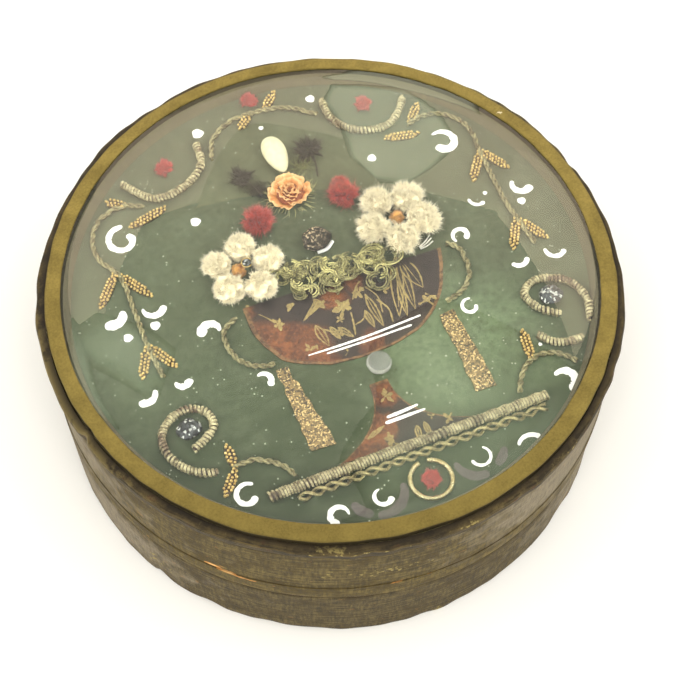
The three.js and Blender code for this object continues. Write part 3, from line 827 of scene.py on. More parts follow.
def make_lid(paper, strip, rim, card):
    wall = Piece("lid_wall_papered", "band_paper", ["lid_wall"], [paper, strip, rim, card])
    inner = WALL_RADIUS - WALL_THICKNESS
    rebate = GLASS_RADIUS + 0.3
    foot = SEAM + SEAM_GAP
    strip_top = SEAM + STRIP_HEIGHT
    strip_radius = WALL_RADIUS + 0.15
    rim_foot = RIM_TOP - RIM_HEIGHT

    def wobble(theta, radius, height):
        outside = np.clip((radius - inner) / WALL_THICKNESS, 0, 1)
        at_foot = np.exp(-(((height - SEAM) / 1.5) ** 2))
        at_rim = 1 / (1 + np.exp(-(height - rim_foot) * 4))
        bow = 0.1 * ripple(theta, 21, 2, 10) * np.sin(math.pi * (height - SEAM) / (RIM_TOP - SEAM))
        ragged = 0.08 - 0.14 * ripple(theta, 22, 6, 70, 0.35)
        bulge = 0.4 * patch(theta, -128, 12) + 0.3 * patch(theta, -150, 8) + 0.35 * patch(theta, -85, 25)
        notch = -0.75 * patch(theta, -53.4, 1.1) - 0.5 * patch(theta, 120, 1.4)
        radius = radius + outside * (bow + at_rim * (ragged + bulge + notch) - 0.05 * at_foot)
        wave = 0.2 * ripple(theta, 23, 3, 44, 0.55) * at_foot
        strip_wave = 0.14 * ripple(theta, 24, 4, 50, 0.4) * np.exp(-(((height - strip_top) / 0.8) ** 2))
        foot_wave = 0.22 * ripple(theta, 25, 4, 60, 0.45) * np.exp(-(((height - rim_foot) / 0.8) ** 2))
        return radius, height + (wave + strip_wave + foot_wave) * outside

    # Each corner's shade is painted shade: at the seam, over the strip, in the line under the rim, on the rim's
    # top by the ring and inside
    turned(wall, [
        (inner, foot), (strip_radius - 0.1, foot), (strip_radius, foot + 0.25),
        (strip_radius, strip_top), (WALL_RADIUS, strip_top + 0.05), (WALL_RADIUS, strip_top + 0.5),
        (WALL_RADIUS, rim_foot - 0.5), (WALL_RADIUS - 0.1, rim_foot), (RIM_RADIUS - 0.1, rim_foot + 0.35),
        (RIM_RADIUS, RIM_TOP - 0.8), (RIM_RADIUS - 0.23, RIM_TOP - 0.23), (RIM_RADIUS - 0.8, RIM_TOP),
        (rebate, RIM_TOP), (rebate, BOARD_LOW), (inner, BOARD_LOW),
    ], finish=[3, 1, 1, 1, 0, 0, 0, 2, 2, 2, 2, 2, 3, 3, 3], segments=480, wobble=wobble,
        shade=[0.4, 0.45, 1, 0.75, 0.3, 1, 0.9, 0.0, 0.4, 1, 0.7, 0.3, 0.05, 0.4, 0.5], steps=0.4)
    wall.marks = side_marks(LID_MARKS)
    wall.make(crease=40)


RING_CHIP = (41.7, 21.4)


def make_ring(gilt):
    """The gilt ring, with its paper turned down over the edge of the glass and darkened there by painted shade.
    """
    ring = Piece("gilt_paper_ring", "gilt_paper", ["gilt_ring"], [gilt])
    under = RING_TOP - RING_THICKNESS
    skirt = RIM_TOP + 0.08

    def wobble(theta, radius, height):
        inside = np.exp(-(((radius - RING_OPENING) / 0.5) ** 2))
        outside = np.exp(-(((radius - RING_RADIUS) / 0.5) ** 2))
        cut = 0.06 * ripple(theta, 31, 3, 60, 0.5) * inside
        cut = cut + 0.1 * ripple(theta, 32, 3, 60, 0.5) * outside - 0.35 * patch(theta, -53, 1.5) * outside
        return radius + cut, height - 0.04 * (1 + ripple(theta, 33, 2, 30)) * (height > under + 0.1)

    # Each corner's shade is painted shade: dark on the turned-down edge and its outer side, a little at the
    # opening
    turned(ring, [
        (GLASS_RADIUS + 0.05, under), (GLASS_RADIUS + 0.05, skirt), (RING_RADIUS - 0.12, skirt),
        (RING_RADIUS - 0.1, RING_TOP - 0.35), (RING_RADIUS - 0.12, RING_TOP - 0.08),
        (RING_RADIUS - 0.4, RING_TOP), (RING_OPENING + 0.3, RING_TOP, OPENING_SHIFT),
        (RING_OPENING + 0.05, RING_TOP - 0.06, OPENING_SHIFT), (RING_OPENING, under, OPENING_SHIFT),
    ], segments=480, wobble=wobble, shade=[0.6, 0.05, 0.05, 0.1, 0.7, 1, 1, 0.8, 0.75], steps=0.7)
    ring.marks = {
        "chip": lambda points: np.exp(-(((points[:, :2] - RING_CHIP) / 0.35) ** 2).sum(1)),
        # The second mark is painted shade over the front of the ring, where less light falls
        "front_shade": lambda points: patch(np.arctan2(points[:, 1], points[:, 0]), 0, 60),
    }
    ring.make(crease=40)


def make_glass(glass):
    pane = Piece("domed_glass", "clear_glass", ["lid_glass"], [glass])
    thickness = RING_TOP - RING_THICKNESS - GLASS_LOW
    shares = np.linspace(0.03, 1, 22)

    def dome(base):
        return [(share * DOME_RADIUS, base + GLASS_RISE * (1 - share**2)) for share in shares]

    rim = [(GLASS_RADIUS, GLASS_LOW), (GLASS_RADIUS, GLASS_LOW + thickness)]
    spun(pane, dome(GLASS_LOW) + rim + dome(GLASS_LOW + thickness)[::-1], 240)
    pane.make(crease=40).visible_shadow = False


def make_spacer(lining):
    ring = Piece("glass_spacer", "inner_paper", ["lid_spacer"], [lining])

    def upright_in_front(theta, radius, height):
        foot = (height < GROUND + 0.1) & (radius < SPACER_OPENING)
        return radius + foot * SPACER_LEAN * patch(theta, 0, 65), height

    turned(ring, [
        (SPACER_OPENING - SPACER_LEAN, GROUND, OPENING_SHIFT), (BOARD_RADIUS, GROUND),
        (BOARD_RADIUS, GLASS_LOW), (SPACER_OPENING, GLASS_LOW, OPENING_SHIFT),
    ], shade=[0.5, 1, 1, 1], wobble=upright_in_front)
    ring.make(crease=40)


# Thick paint: how deep its underside lies in the ground, and how high it stands
SUNK = 0.02
DAB_HEIGHT = 0.07
WHITE_HEIGHT = 0.06
VIOLET_HEIGHT = 0.04

# Scrolls of white paint: x, y, radius, start and sweep in degrees, thin and thick width, curl
WHITE_SCROLLS = [
    (-30.2, 22.4, 3.1, 76, 330, 1.1, 1.5, 0.38), (-29.8, 7.5, 1.8, 172, 176, 0.5, 1.8, 1),
    (-36.8, 8.3, 1.8, 12, -158, 1.3, 2.3, 1), (-29.9, -8, 1.1, 170, 190, 0.7, 1.8, 1),
    (-22.3, -0.8, 1.5, -20, 220, 0.7, 2.3, 1), (-36.4, -8.1, 1.7, 7, -150, 0.9, 1.8, 1),
    (30.6, 21.1, 2.7, 118, -290, 0.6, 2.4, 0.45), (31, 7.5, 1.5, 167, 139, 0.6, 0.9, 1),
    (39.6, 7.3, 1.6, 132, 201, 0.7, 1.9, 1), (25.1, 1.2, 1.7, 216, -290, 0.5, 1.3, 0.5),
    (32.2, -7, 1.5, 199, 150, 0.9, 1.4, 1), (39, -7.4, 1.7, 161, 170, 0.8, 1.3, 1),
    (20.4, -12.7, 1.6, 67, 290, 0.5, 0.9, 0.6), (-15, -40.2, 1.6, -15, 266, 0.4, 1.5, 0.85),
    (-7.3, -39.7, 1.4, 92, 246, 0.4, 1.1, 1), (10, -39.1, 1.65, 58, -232, 0.5, 0.7, 1),
    (-27.1, -31.5, 2.2, 46, 290, 0.6, 1.3, 0.55), (28.8, -31.8, 1.9, 126, -215, 0.7, 2.3, 1),
    (18.5, -40.9, 2.3, 150, -117, 0.6, 1.1, 1), (-17.4, -13, 1.3, 122, -191, 0.4, 1.7, 1),
]
VIOLET_SCROLLS = [
    (-9, -38.9, 3.1, 180, 75, 1.2, 1.9, 1), (-7.6, -38.7, 4.1, 0, -115, 1.1, 1.9, 1),
    (9.3, -38.7, 3.6, 178, 105, 1.1, 1.9, 1), (9.6, -36.7, 5.2, -26, -40, 1.1, 1.8, 1),
]
WHITE_DOTS = [
    (-30.6, 3.8, 1.7), (-35.6, 3.2, 1.6), (-17.2, 21.4, 1.8), (38.1, 3.9, 1.5), (-10.3, 39.8, 2.2),
    (17.1, 22.7, 1.6), (11.8, 39.7, 1.7), (0.9, 36.7, 0.9), (32.8, 7.9, 0.8), (28.1, -24, 0.7),
]


def scroll(board, place, shares, widths, height, finish, rough):
    """A scroll of paint whose widths are given at shares of its length."""
    route = arc(*place)
    widths = np.interp(np.linspace(0, 1, len(route)), shares, widths)
    stroke(board, route, widths, -SUNK, height, finish, rough)


def make_board(ground, white, violet, card):
    """The painted board: a gently uneven ground and the thick strokes of paint on it."""
    board = Piece("painted_board", "green_ground", ["lid_board"], [ground, white, violet, card])
    sides, middle = 180, 0.6
    turn = turns(sides)
    reaches = np.linspace(BOARD_RADIUS, middle, 40)
    top = np.concatenate([circle(0, 0, GROUND, reach, turn) for reach in reaches])
    inside = np.hypot(top[:, 0], top[:, 1]) < SPACER_OPENING - SPACER_LEAN - 0.5
    top[:, 2] -= 0.04 * (1 + rumple(top[:, :2], 9, board.random)).clip(0) * inside
    below = [circle(0, 0, BOARD_LOW, reach, turn) for reach in (middle, BOARD_RADIUS)]
    rows = np.concatenate([below, top.reshape(-1, sides, 3)])
    finishes = np.zeros((len(rows) - 1, sides), int)
    finishes[:2] = 3
    capped(board, rows, finishes.reshape(-1), ends=(3, 0))
    for *place, thin, thick, curl in WHITE_SCROLLS:
        widths = 0.9 * np.array([thin, (thin + thick) / 2, (thin + 2 * thick) / 3, thick])
        scroll(board, (*place, curl), [0, 0.3, 0.7, 1], widths, WHITE_HEIGHT, 1, 0.1)
    for *place, thin, thick, curl in VIOLET_SCROLLS:
        scroll(board, (*place, curl), [0, 0.5, 1], [thin, thick, thin * 1.3], VIOLET_HEIGHT, 2, 0.06)
    for x, y, width in WHITE_DOTS:
        spot(board, x, y, width / 2, 1)
    board.make(crease=50)


# The bowl, its foot and what hangs from it
BOWL_WIDTH = 36.5
BOWL_DEPTH = 16
BOWL_CENTRE = (2.35, 0.65)
BOWL_RIM = [[-0.5, 0.04], [0.5, -0.04]]
BOWL_SIDES = [
    [0.43, -0.45], [0.36, -0.66], [0.22, -0.89], [-0.02, -0.98],
    [-0.24, -0.93], [-0.43, -0.68], [-0.49, -0.37],
]


def on_bowl(point):
    return [BOWL_CENTRE[0] + point[0] * BOWL_WIDTH, BOWL_CENTRE[1] + point[1] * BOWL_DEPTH]


def shaken(outline, size, amount, random):
    """The outline of a piece cut by hand."""
    return outline + amount * np.column_stack([rumple(outline, size, random), rumple(outline, size, random)])


def gilt_line(piece, route, widths, rough=0.3):
    """A printed line, a little uneven."""
    stroke(piece, route, widths, PAPER, 0.02, 2, rough)


def gilt_leaf(piece, start, tip, width):
    """The outline of a pointed leaf, and its vein."""
    start, tip = np.array(start, float), np.array(tip, float)
    along = tip - start
    across = np.array([-along[1], along[0]]) / np.linalg.norm(along) * width / 2
    for side in (-across, across):
        route = [start, start + along * 0.3 + side, start + along * 0.7 + side * 0.8, tip]
        gilt_line(piece, route, [0.18, 0.3, 0.3, 0.15])
    gilt_line(piece, [start, start + along * 0.4, start + along * 0.85], [0.24, 0.21, 0.1])


def gilt_bloom(piece, x, y, radius, petals, turn):
    """A flower seen from the side: petals on a heart."""
    for k in range(petals):
        way = math.radians(turn + k * 360 / petals + piece.random.uniform(-22, 22))
        reach = radius * piece.random.uniform(0.6, 1.15)
        tip = (x + reach * math.cos(way), y + reach * math.sin(way))
        widths = [radius * 0.12, radius * 0.45, radius * 0.25]
        gilt_line(piece, [(x, y), ((x + tip[0]) / 2, (y + tip[1]) / 2), tip], widths, 0.45)


def gilt_fan(piece, tip, left, right):
    """A fern leaf: lines that fan out from its tip, joined across at the top."""
    ends = np.linspace(left, right, 4)
    for end in ends:
        gilt_line(piece, [tip, (np.array(tip) + end) / 2 + (0.15, 0.1), end], [0.2, 0.34, 0.3])
    gilt_line(piece, ends, np.full(len(ends), 0.4), 0.4)


# Gilt sprigs on the bowl: leaves as start, tip and width, blooms as x, y, radius, petals and turn
BOWL_LEAVES = [
    ((12.6, 1.6), (8.3, -10.2), 2.0), ((12.6, 1), (11.4, -9.9), 1.6), ((13, 0.6), (14.4, -6.4), 2.3),
    ((10.9, -3.4), (9.6, -10.6), 1.0), ((-4, -1.4), (-2.8, -3.9), 0.8),
    ((-5.6, -6.4), (-4.9, -11.1), 1.3), ((4.6, -3.8), (5.1, -11), 1.1), ((3.3, -6.8), (3.6, -10.6), 0.8),
    ((-2.2, -8.2), (-0.4, -11), 0.8), ((-3.4, -7.6), (-2.6, -10.6), 0.8),
]
BOWL_BLOOMS = [
    (0.2, -5.0, 2.2, 5, 40), (3.6, -3.2, 1.7, 5, 10), (13.9, -8.9, 1.5, 4, 20), (15, -8.2, 1.5, 5, 60),
    (-11.2, -4.0, 1.6, 5, 60), (-14.9, 0.5, 1.5, 4, 10), (-2.4, -9.6, 1.1, 4, 40),
    (-8, -10.4, 1.3, 4, 15), (-2.4, -13.4, 0.9, 3, 80), (0.4, -13.5, 0.8, 3, 60), (8.2, -4.4, 0.9, 4, 0),
    (-1.3, -7.0, 0.8, 4, 0), (-9.9, -12.1, 0.7, 3, 45), (5.2, -13, 0.7, 3, 20),
]
BOWL_STALKS = [
    [(-14.2, -0.3), (-12.8, -1.8), (-11.7, -3.4)], [(1, -6.3), (0.5, -8.9), (0, -10.8)],
    [(0.7, -8.9), (2.5, -8.3), (3.3, -7.1)], [(-4.7, -7.6), (-3.4, -8.6), (-1.8, -9)],
    [(2.2, -4.1), (4.2, -1.5), (4.9, -1)], [(-6.8, -10), (-7.2, -12.6)],
    [(6, -5.5), (7.2, -8), (6.9, -10.8)], [(5.2, -2.4), (6.4, -5), (6, -8.4)],
]
BOWL_FANS = [((-7.1, -4.9), (-4.1, -2.2), (-2.3, -2.6)), ((-8.9, -2.2), (-8.6, -0.9), (-7.3, -1.1))]
FOOT_LEAVES = [
    ((2.6, -30.2), (2.2, -33), 0.8), ((4, -30), (4.1, -33), 0.7), ((-5.8, -29.6), (-2.2, -28.3), 0.5),
]
FOOT_BLOOMS = [
    (0.1, -23.4, 1.5, 5, 70), (-2.4, -31, 1.6, 5, 15), (8, -31, 1.2, 4, 40), (5.6, -29.6, 0.8, 3, 10),
]
BOWL_LINES = [[(-8.9, -11.5), (0.4, -11.7), (11.8, -11.3)], [(-5.9, -12.3), (1.9, -12.5), (9.6, -12.5)]]
FOOT_LINES = [[(-1.3, -27.1), (1.8, -27), (4.4, -26.8)], [(-1.9, -28), (1.7, -28), (5.2, -28)]]


def printed(piece, leaves, blooms, stalks=(), fans=()):
    for start, tip, width in leaves:
        gilt_leaf(piece, start, tip, width)
    for x, y, radius, petals, turn in blooms:
        gilt_bloom(piece, x, y, radius, petals, turn)
    for route in stalks:
        gilt_line(piece, route, np.full(len(route), 0.3))
    for tip, left, right in fans:
        gilt_fan(piece, tip, left, right)


def painted_lines(piece, lines, widths):
    """Lines of thick white paint over the print."""
    for route in lines:
        stroke(piece, route, widths, PAPER, 0.05, 3, 0.12)


def make_bowl(shell, edge, print_gilt, white):
    bowl = Piece("tortoiseshell_bowl", "shell_paper", ["bowl"], [shell, edge, print_gilt, white])
    left, right = (on_bowl(point) for point in BOWL_RIM)
    sides = smooth_route([right, *map(on_bowl, BOWL_SIDES), left], 0.4)
    rim = smooth_route([left, right], 0.6)[1:-1]
    outline = np.concatenate([sides, rim])[::-1]
    outline = shaken(outline, 2.5, 0.1, bowl.random)
    band = np.where(np.arange(len(outline)) < len(rim), 0, 1)
    flat_sheet(bowl, outline, on_bowl([0, -0.35]), edge=band, edge_share=0.96, curl=0.04)
    printed(bowl, BOWL_LEAVES, BOWL_BLOOMS, BOWL_STALKS, BOWL_FANS)
    painted_lines(bowl, BOWL_LINES, [0.35, 0.45, 0.4])
    bowl.make(crease=50)


# The bead's place, and its glass, which is a little smaller
BEAD_RADIUS = 2.4
BEAD_GLASS = 2.15
BEAD_SHIFT = 1.3
GAP = 0.3
FOOT_WIDTH = 24
FOOT_TOP = 1.6
FOOT_HEIGHT = 11.8
FOOT_CURVE = 0.3
BEAD_Y = on_bowl([0, -0.98])[1] - GAP - BEAD_RADIUS
FOOT_APEX = BEAD_Y - BEAD_RADIUS - GAP
FOOT_BASE = FOOT_APEX - FOOT_HEIGHT


def curve_of(start, control, end, steps=14):
    """Points on a quadratic curve."""
    t = np.linspace(0, 1, steps)[:, None]
    return (1 - t) ** 2 * np.array(start) + 2 * t * (1 - t) * np.array(control) + t**2 * np.array(end)


def make_foot(shell, edge, print_gilt, white):
    foot = Piece("tortoiseshell_foot", "shell_paper", ["bowl_foot"], [shell, edge, print_gilt, white])
    half = FOOT_WIDTH / 2
    waist = FOOT_BASE + FOOT_HEIGHT * FOOT_CURVE
    base = smooth_route([(-half, FOOT_BASE), (half, FOOT_BASE)], 1.2)
    right = curve_of((half, FOOT_BASE), (FOOT_TOP, waist), (FOOT_TOP, FOOT_APEX))
    left = curve_of((-FOOT_TOP, FOOT_APEX), (-FOOT_TOP, waist), (-half, FOOT_BASE))
    outline = np.concatenate([base[:-1], right, left[:-1]])
    outline = shaken(outline, 2.5, 0.06, foot.random)
    flat_sheet(foot, outline, (0, FOOT_BASE + 1.2), edge=1, edge_share=0.95)
    printed(foot, FOOT_LEAVES, FOOT_BLOOMS)
    painted_lines(foot, FOOT_LINES, [0.6, 0.6, 0.35])
    foot.make(crease=50)


RIBBON_LENGTH = 16
RIBBONS = {
    "left": {"top": [-0.445, -0.81], "narrow": 2, "wide": 4.4, "lean": 1.1},
    "right": {"top": [0.375, -0.81], "narrow": 2.7, "wide": 3.7, "lean": 0.2},
}


def make_ribbon(side, top, narrow, wide, lean, glitter):
    ribbon = Piece("glitter_ribbon_" + side, "glitter_paper", ["ribbon_" + side], [glitter])
    x, y = on_bowl(top)
    share = np.linspace(0, 1, 26)
    middle = x + lean * share
    half = (narrow + (wide - narrow) * share) / 2
    foot = y - RIBBON_LENGTH * share
    left = np.column_stack([middle - half, foot])
    right = np.column_stack([middle + half, foot])
    outline = shaken(np.concatenate([left, right[::-1]]), 1.6, 0.16, ribbon.random)
    flat_sheet(ribbon, outline, (x + lean / 2, y - RIBBON_LENGTH / 2), curl=0.05)
    ribbon.make(crease=50)


def make_bead(glass):
    bead = Piece("stem_bead_glass", "glass_bead", ["stem_bead"], [glass])
    height = high("stem_bead")[2] - GROUND
    centre = (BEAD_SHIFT, BEAD_Y, GROUND + height / 2)
    ball(bead, centre, (BEAD_GLASS, BEAD_GLASS, height / 2), rings=30, sides=48)
    bead.make()


BAR_RADIUS = 0.95
BAR_LENGTH = 48.7
BAR_SHIFT = 0.2
CORD_RADIUS = 0.6
CORD_LENGTH = 43.4
CORD_SHIFT = 1.8
BAR_Y = FOOT_BASE - GAP - BAR_RADIUS
CORD_Y = BAR_Y - BAR_RADIUS - GAP - CORD_RADIUS


def level(length, centre, height):
    return [(centre - length / 2, height), (centre, height), (centre + length / 2, height)]


def make_table(purl_wire, core, gilt):
    bar = Piece("purl_bar", "silver_purl", ["table_bar"], [purl_wire, core])
    purl(bar, level(BAR_LENGTH, BAR_SHIFT, BAR_Y), BAR_RADIUS, 0.5, 0.8)
    bar.make(crease=60)
    cord = Piece("twisted_cord", "gilt_wire", ["table_cord"], [gilt])
    twisted(cord, level(CORD_LENGTH, CORD_SHIFT, CORD_Y), CORD_RADIUS * 1.15, 4.7, thick=0.42)
    cord.make(crease=60)


HANDLES = {
    "left": [
        [-0.545, -0.05], [-0.62, -0.16], [-0.63, -0.41], [-0.595, -0.59], [-0.53, -0.7], [-0.465, -0.73],
    ],
    "right": [
        [0.53, -0.02], [0.57, -0.1], [0.58, -0.28], [0.56, -0.48], [0.49, -0.64], [0.4, -0.7],
    ],
}
WIRE_RADIUS = 0.45


def make_handle(side, gilt):
    handle = Piece("wire_handle_" + side, "gilt_wire", ["handle_" + side], [gilt])
    twisted(handle, [on_bowl(point) for point in HANDLES[side]], WIRE_RADIUS, 2.6)
    handle.make(crease=60)


# Chenille flowers
PETALS = 5
PETAL_RADIUS = 3
PETAL_RING = 4.6
PETAL_HEIGHT = 3
TUFT_HEIGHT = 2.4
FLOWERS = {"left": ((-13.2, 7.9), 4), "right": ((15.6, 8), 44)}


def fuzz(piece, centre, radii, tufts, fibres, length, width, lean=(0, 0, 0),
         shade=(0.3, 1.0), low_cut=-0.35, loose=0.16, sway=0.4):
    """Tufts of fibres that stand out from a lump. The fibres of a tuft draw together at its tip."""
    ways = unit(piece.random.normal(size=(tufts * 3, 3)))
    ways = ways[ways[:, 2] > low_cut][:tufts]
    radii = np.asarray(radii, float)
    tips = length * piece.random.uniform(0.45, 1.2, len(ways))
    bright = piece.random.uniform(0.75, 1.1, len(ways))
    bends = unit(piece.random.normal(size=ways.shape)) * sway
    ways, tips, bright, bends = (np.repeat(part, fibres, 0) for part in (ways, tips, bright, bends))
    spread = unit(ways + loose * piece.random.normal(size=ways.shape))
    roots = np.asarray(centre) + spread * radii * 0.92
    directions = unit(unit(ways / radii) + bends + np.asarray(lean, float)) + ways - spread
    lengths = tips * piece.random.uniform(0.6, 1.1, len(ways))
    directions = unit(directions + 0.14 * piece.random.normal(size=ways.shape))
    ends = roots + directions * lengths[:, None]
    directions[:, 2] += np.maximum(0, GROUND + 0.05 - ends[:, 2]) / lengths
    spikes(piece, roots, directions, lengths, width, 0.25, shade=shade, bright=bright)


def make_flower(side, cotton, length, fibres):
    flower = Piece("chenille_flower_" + side, "chenille", ["flower_" + side], [cotton])
    (x, y), turn = FLOWERS[side]
    for k in range(PETALS):
        way = math.radians(turn + k * 360 / PETALS)
        outward = np.array([math.cos(way), math.sin(way), 0])
        middle = np.array([x, y, 0]) + outward * PETAL_RING
        centre = (middle[0], middle[1], GROUND + PAPER + PETAL_HEIGHT * 0.46)
        size = flower.random.uniform(0.9, 1.05)
        radii = np.array([PETAL_RADIUS * 0.76, PETAL_RADIUS * 0.76, PETAL_HEIGHT * 0.36]) * size
        ball(flower, centre, radii * 1.04, dents=0.16, size=0.9, rings=22, sides=36, shade=0.8)
        fuzz(flower, centre, radii, 260, fibres, length, 0.1, lean=outward * 0.4 + [0, 0, 0.1],
             shade=(0.6, 1.2), sway=0.3, loose=0.13)
    flower.make()


def make_tuft(side, orange, bead, gilt):
    tuft = Piece("orange_centre_" + side, "orange_tuft", ["flower_centre_" + side], [orange, bead, gilt])
    (x, y), _ = FLOWERS[side]
    shift = -0.8 if side == "left" else 0
    centre = (x + shift, y, GROUND + TUFT_HEIGHT * 0.55)
    ball(tuft, centre, (1.15, 1.15, TUFT_HEIGHT / 2), dents=0.08, size=0.8, shade=0.5)
    fuzz(tuft, centre, (1.1, 1.1, TUFT_HEIGHT / 2), 60, 14, 0.5, 0.1)
    if side == "left":
        seed = arc(x + 0.8, y + 0.15, 0.52, 0, 350, points=16)
        tube(tuft, raised(seed, TUFT_HEIGHT + 0.45), 0.3, 8, 1)
        hoop = arc(x + 0.8, y + 0.15, 0.92, 20, 300, points=18)
        tube(tuft, raised(hoop, TUFT_HEIGHT + 0.55), 0.1, 5, 2)
    tuft.make()


# Lobes of the pompoms: shift in X and Y, and share of the full size
POMPOM_LOBES = {"left": [(0, 0, 0.95), (0.7, 0.5, 0.7)], "right": [(0.1, -0.7, 0.9), (0.3, 1.3, 0.62)]}


def make_pompom(side, x, y, wool):
    pompom = Piece("wool_pompom_" + side, "red_wool", ["pompom_" + side], [wool])
    for shift, across, size in POMPOM_LOBES[side]:
        centre = (x + shift, y + across, GROUND + 1.3)
        radii = np.array([1.9, 1.9, 1.0]) * size
        ball(pompom, centre, radii, dents=0.2, size=1.1, shade=0.4)
        fuzz(pompom, centre, radii, round(240 * size), 10, 1.9 * size, 0.09,
             shade=(0.1, 1.2), loose=0.12, sway=0.6)
    pompom.make()


def make_dot(place, x, y, wool):
    dot = Piece("wool_dot_" + place, "red_wool", ["red_tuft_" + place], [wool])
    centre = (x, y, GROUND + 0.5)
    ball(dot, centre, (1.15, 1.15, 0.42), dents=0.2, size=0.8, rings=10, shade=0.6)
    fuzz(dot, centre, (1.15, 1.15, 0.42), 130, 12, 1.0, 0.08, shade=(0.3, 1.1), low_cut=-0.1, sway=0.6)
    dot.make()


# Rings of petals: how many, the ring's radius, a petal's length, its height and its lean in degrees
ROSE_LAYERS = [
    (9, 3.3, 2.3, 0.5, 62), (9, 2.5, 2.1, 0.9, 50), (8, 1.6, 1.9, 1.25, 35), (6, 0.8, 1.5, 1.5, 18),
]
ROSE_PLACE = (0.3, 20.2)


def add_petal(rose, way, tilt, length, wave, ring, lift):
    """A cupped petal with a wavy edge, turned out from a ring by its tilt, on both sides closed."""
    rows, columns = 7, 9
    u = np.linspace(0, 1, rows)[:, None]
    v = np.linspace(-1, 1, columns)[None, :]
    across = length * 0.62 * np.sin(np.clip(u * 1.9 + 0.25, 0, 2.2)) * v
    cup = 0.35 * v**2 * u + 0.22 * np.sin(v * 5 + wave) * u**2
    out = length * u * math.sin(tilt) - cup * math.cos(tilt) + ring * 0.55
    rise = length * u * math.cos(tilt) + cup * math.sin(tilt) + lift
    rise = np.clip(rise + 0.12 * np.sin(v * 8 + 2 * wave) * u**3, 0.1, 3.4)
    x = ROSE_PLACE[0] + out * math.cos(way) - across * math.sin(way)
    y = ROSE_PLACE[1] + out * math.sin(way) + across * math.cos(way)
    sheet = np.stack([x, y, GROUND + rise], -1).reshape(-1, 3)
    thick = np.array([-math.cos(way) * 0.06, -math.sin(way) * 0.06, 0.08])
    front = net(rows, columns, closed=False)
    back = front[:, ::-1] + len(sheet)
    border = np.concatenate([
        np.arange(columns), np.arange(1, rows) * columns + columns - 1,
        (rows - 1) * columns + np.arange(columns - 2, -1, -1), np.arange(rows - 2, 0, -1) * columns])
    following = np.roll(border, -1)
    edge = np.stack([following, border, border + len(sheet), following + len(sheet)], -1)
    # Painted shade at the petal's foot, paler towards its edge
    shade = np.repeat(0.15 + 0.95 * u[:, 0], columns)
    rose.add(np.concatenate([sheet, sheet - thick]), [front, back, edge], 0, np.tile(shade, 2))


def make_rose(paper, leaf):
    """A crumpled paper rose: cupped petals in rings, and wisps of leaf round it."""
    rose = Piece("paper_rose", "rose_paper", ["rose"], [paper, leaf])
    x, y = ROSE_PLACE
    for count, ring, full, lift, lean in ROSE_LAYERS:
        for k in range(count):
            way = (k + rose.random.uniform(-0.4, 0.4)) / count * FULL
            tilt = math.radians(lean + rose.random.uniform(-20, 20))
            length = full * rose.random.uniform(0.8, 1.1)
            add_petal(rose, way, tilt, length, rose.random.uniform(0, FULL), ring, lift)
    # A dark lump at the heart, under the petals: painted shade
    ball(rose, (x, y, GROUND + 1.1), (2.6, 2.6, 1.0), shade=0.05)
    count = 70
    ways = rose.random.uniform(0, FULL, count)
    roots = circle(x, y, GROUND + 0.5, 3.2, ways)
    directions = circle(0, 0, rose.random.uniform(-0.1, 0.5, count), 1, ways)
    spikes(rose, roots, directions, rose.random.uniform(1.2, 2.6, count), 0.16, 0.5, 1, (0.5, 1))
    rose.make(crease=70)


BUD_SLIM = 0.9


def make_bud(paper):
    bud = Piece("cream_bud", "bud_paper", ["white_bud"], [paper])
    lowest, highest = low("white_bud"), high("white_bud")
    x = (lowest[0] + highest[0]) / 2
    tip, top = lowest[1], highest[1]
    width, height = (highest[0] - lowest[0]) * BUD_SLIM / 2, (highest[2] - lowest[2]) / 2
    share = np.linspace(0.004, 0.996, 30)
    round_end = np.sqrt(1 - (1 - 2 * share.clip(0, 1)) ** 2)
    profile = round_end * (0.62 + 0.42 * share**0.8)
    turn = turns(32)
    rows = []
    for along, size in zip(share, profile):
        level_with = np.full(len(turn), tip + (top - tip) * along)
        rise = GROUND + height - height * size * np.sin(turn)
        rows.append(np.column_stack([x + width * size * np.cos(turn), level_with, rise]))
    capped(bud, rows)
    bud.make()


# Dark sprays: middle, reach, stalk's end and the number of blades
FLORETS = {
    "left": {"middle": (-6.5, 26.5), "reach": 2.4, "stalk": (-4.6, 21.8), "blades": 70},
    "right": {"middle": (6.9, 28), "reach": 3.1, "stalk": (6.4, 22.4), "blades": 90},
}
WISPS = {"left": (-4.4, 23.4), "right": (4.6, 25.8)}


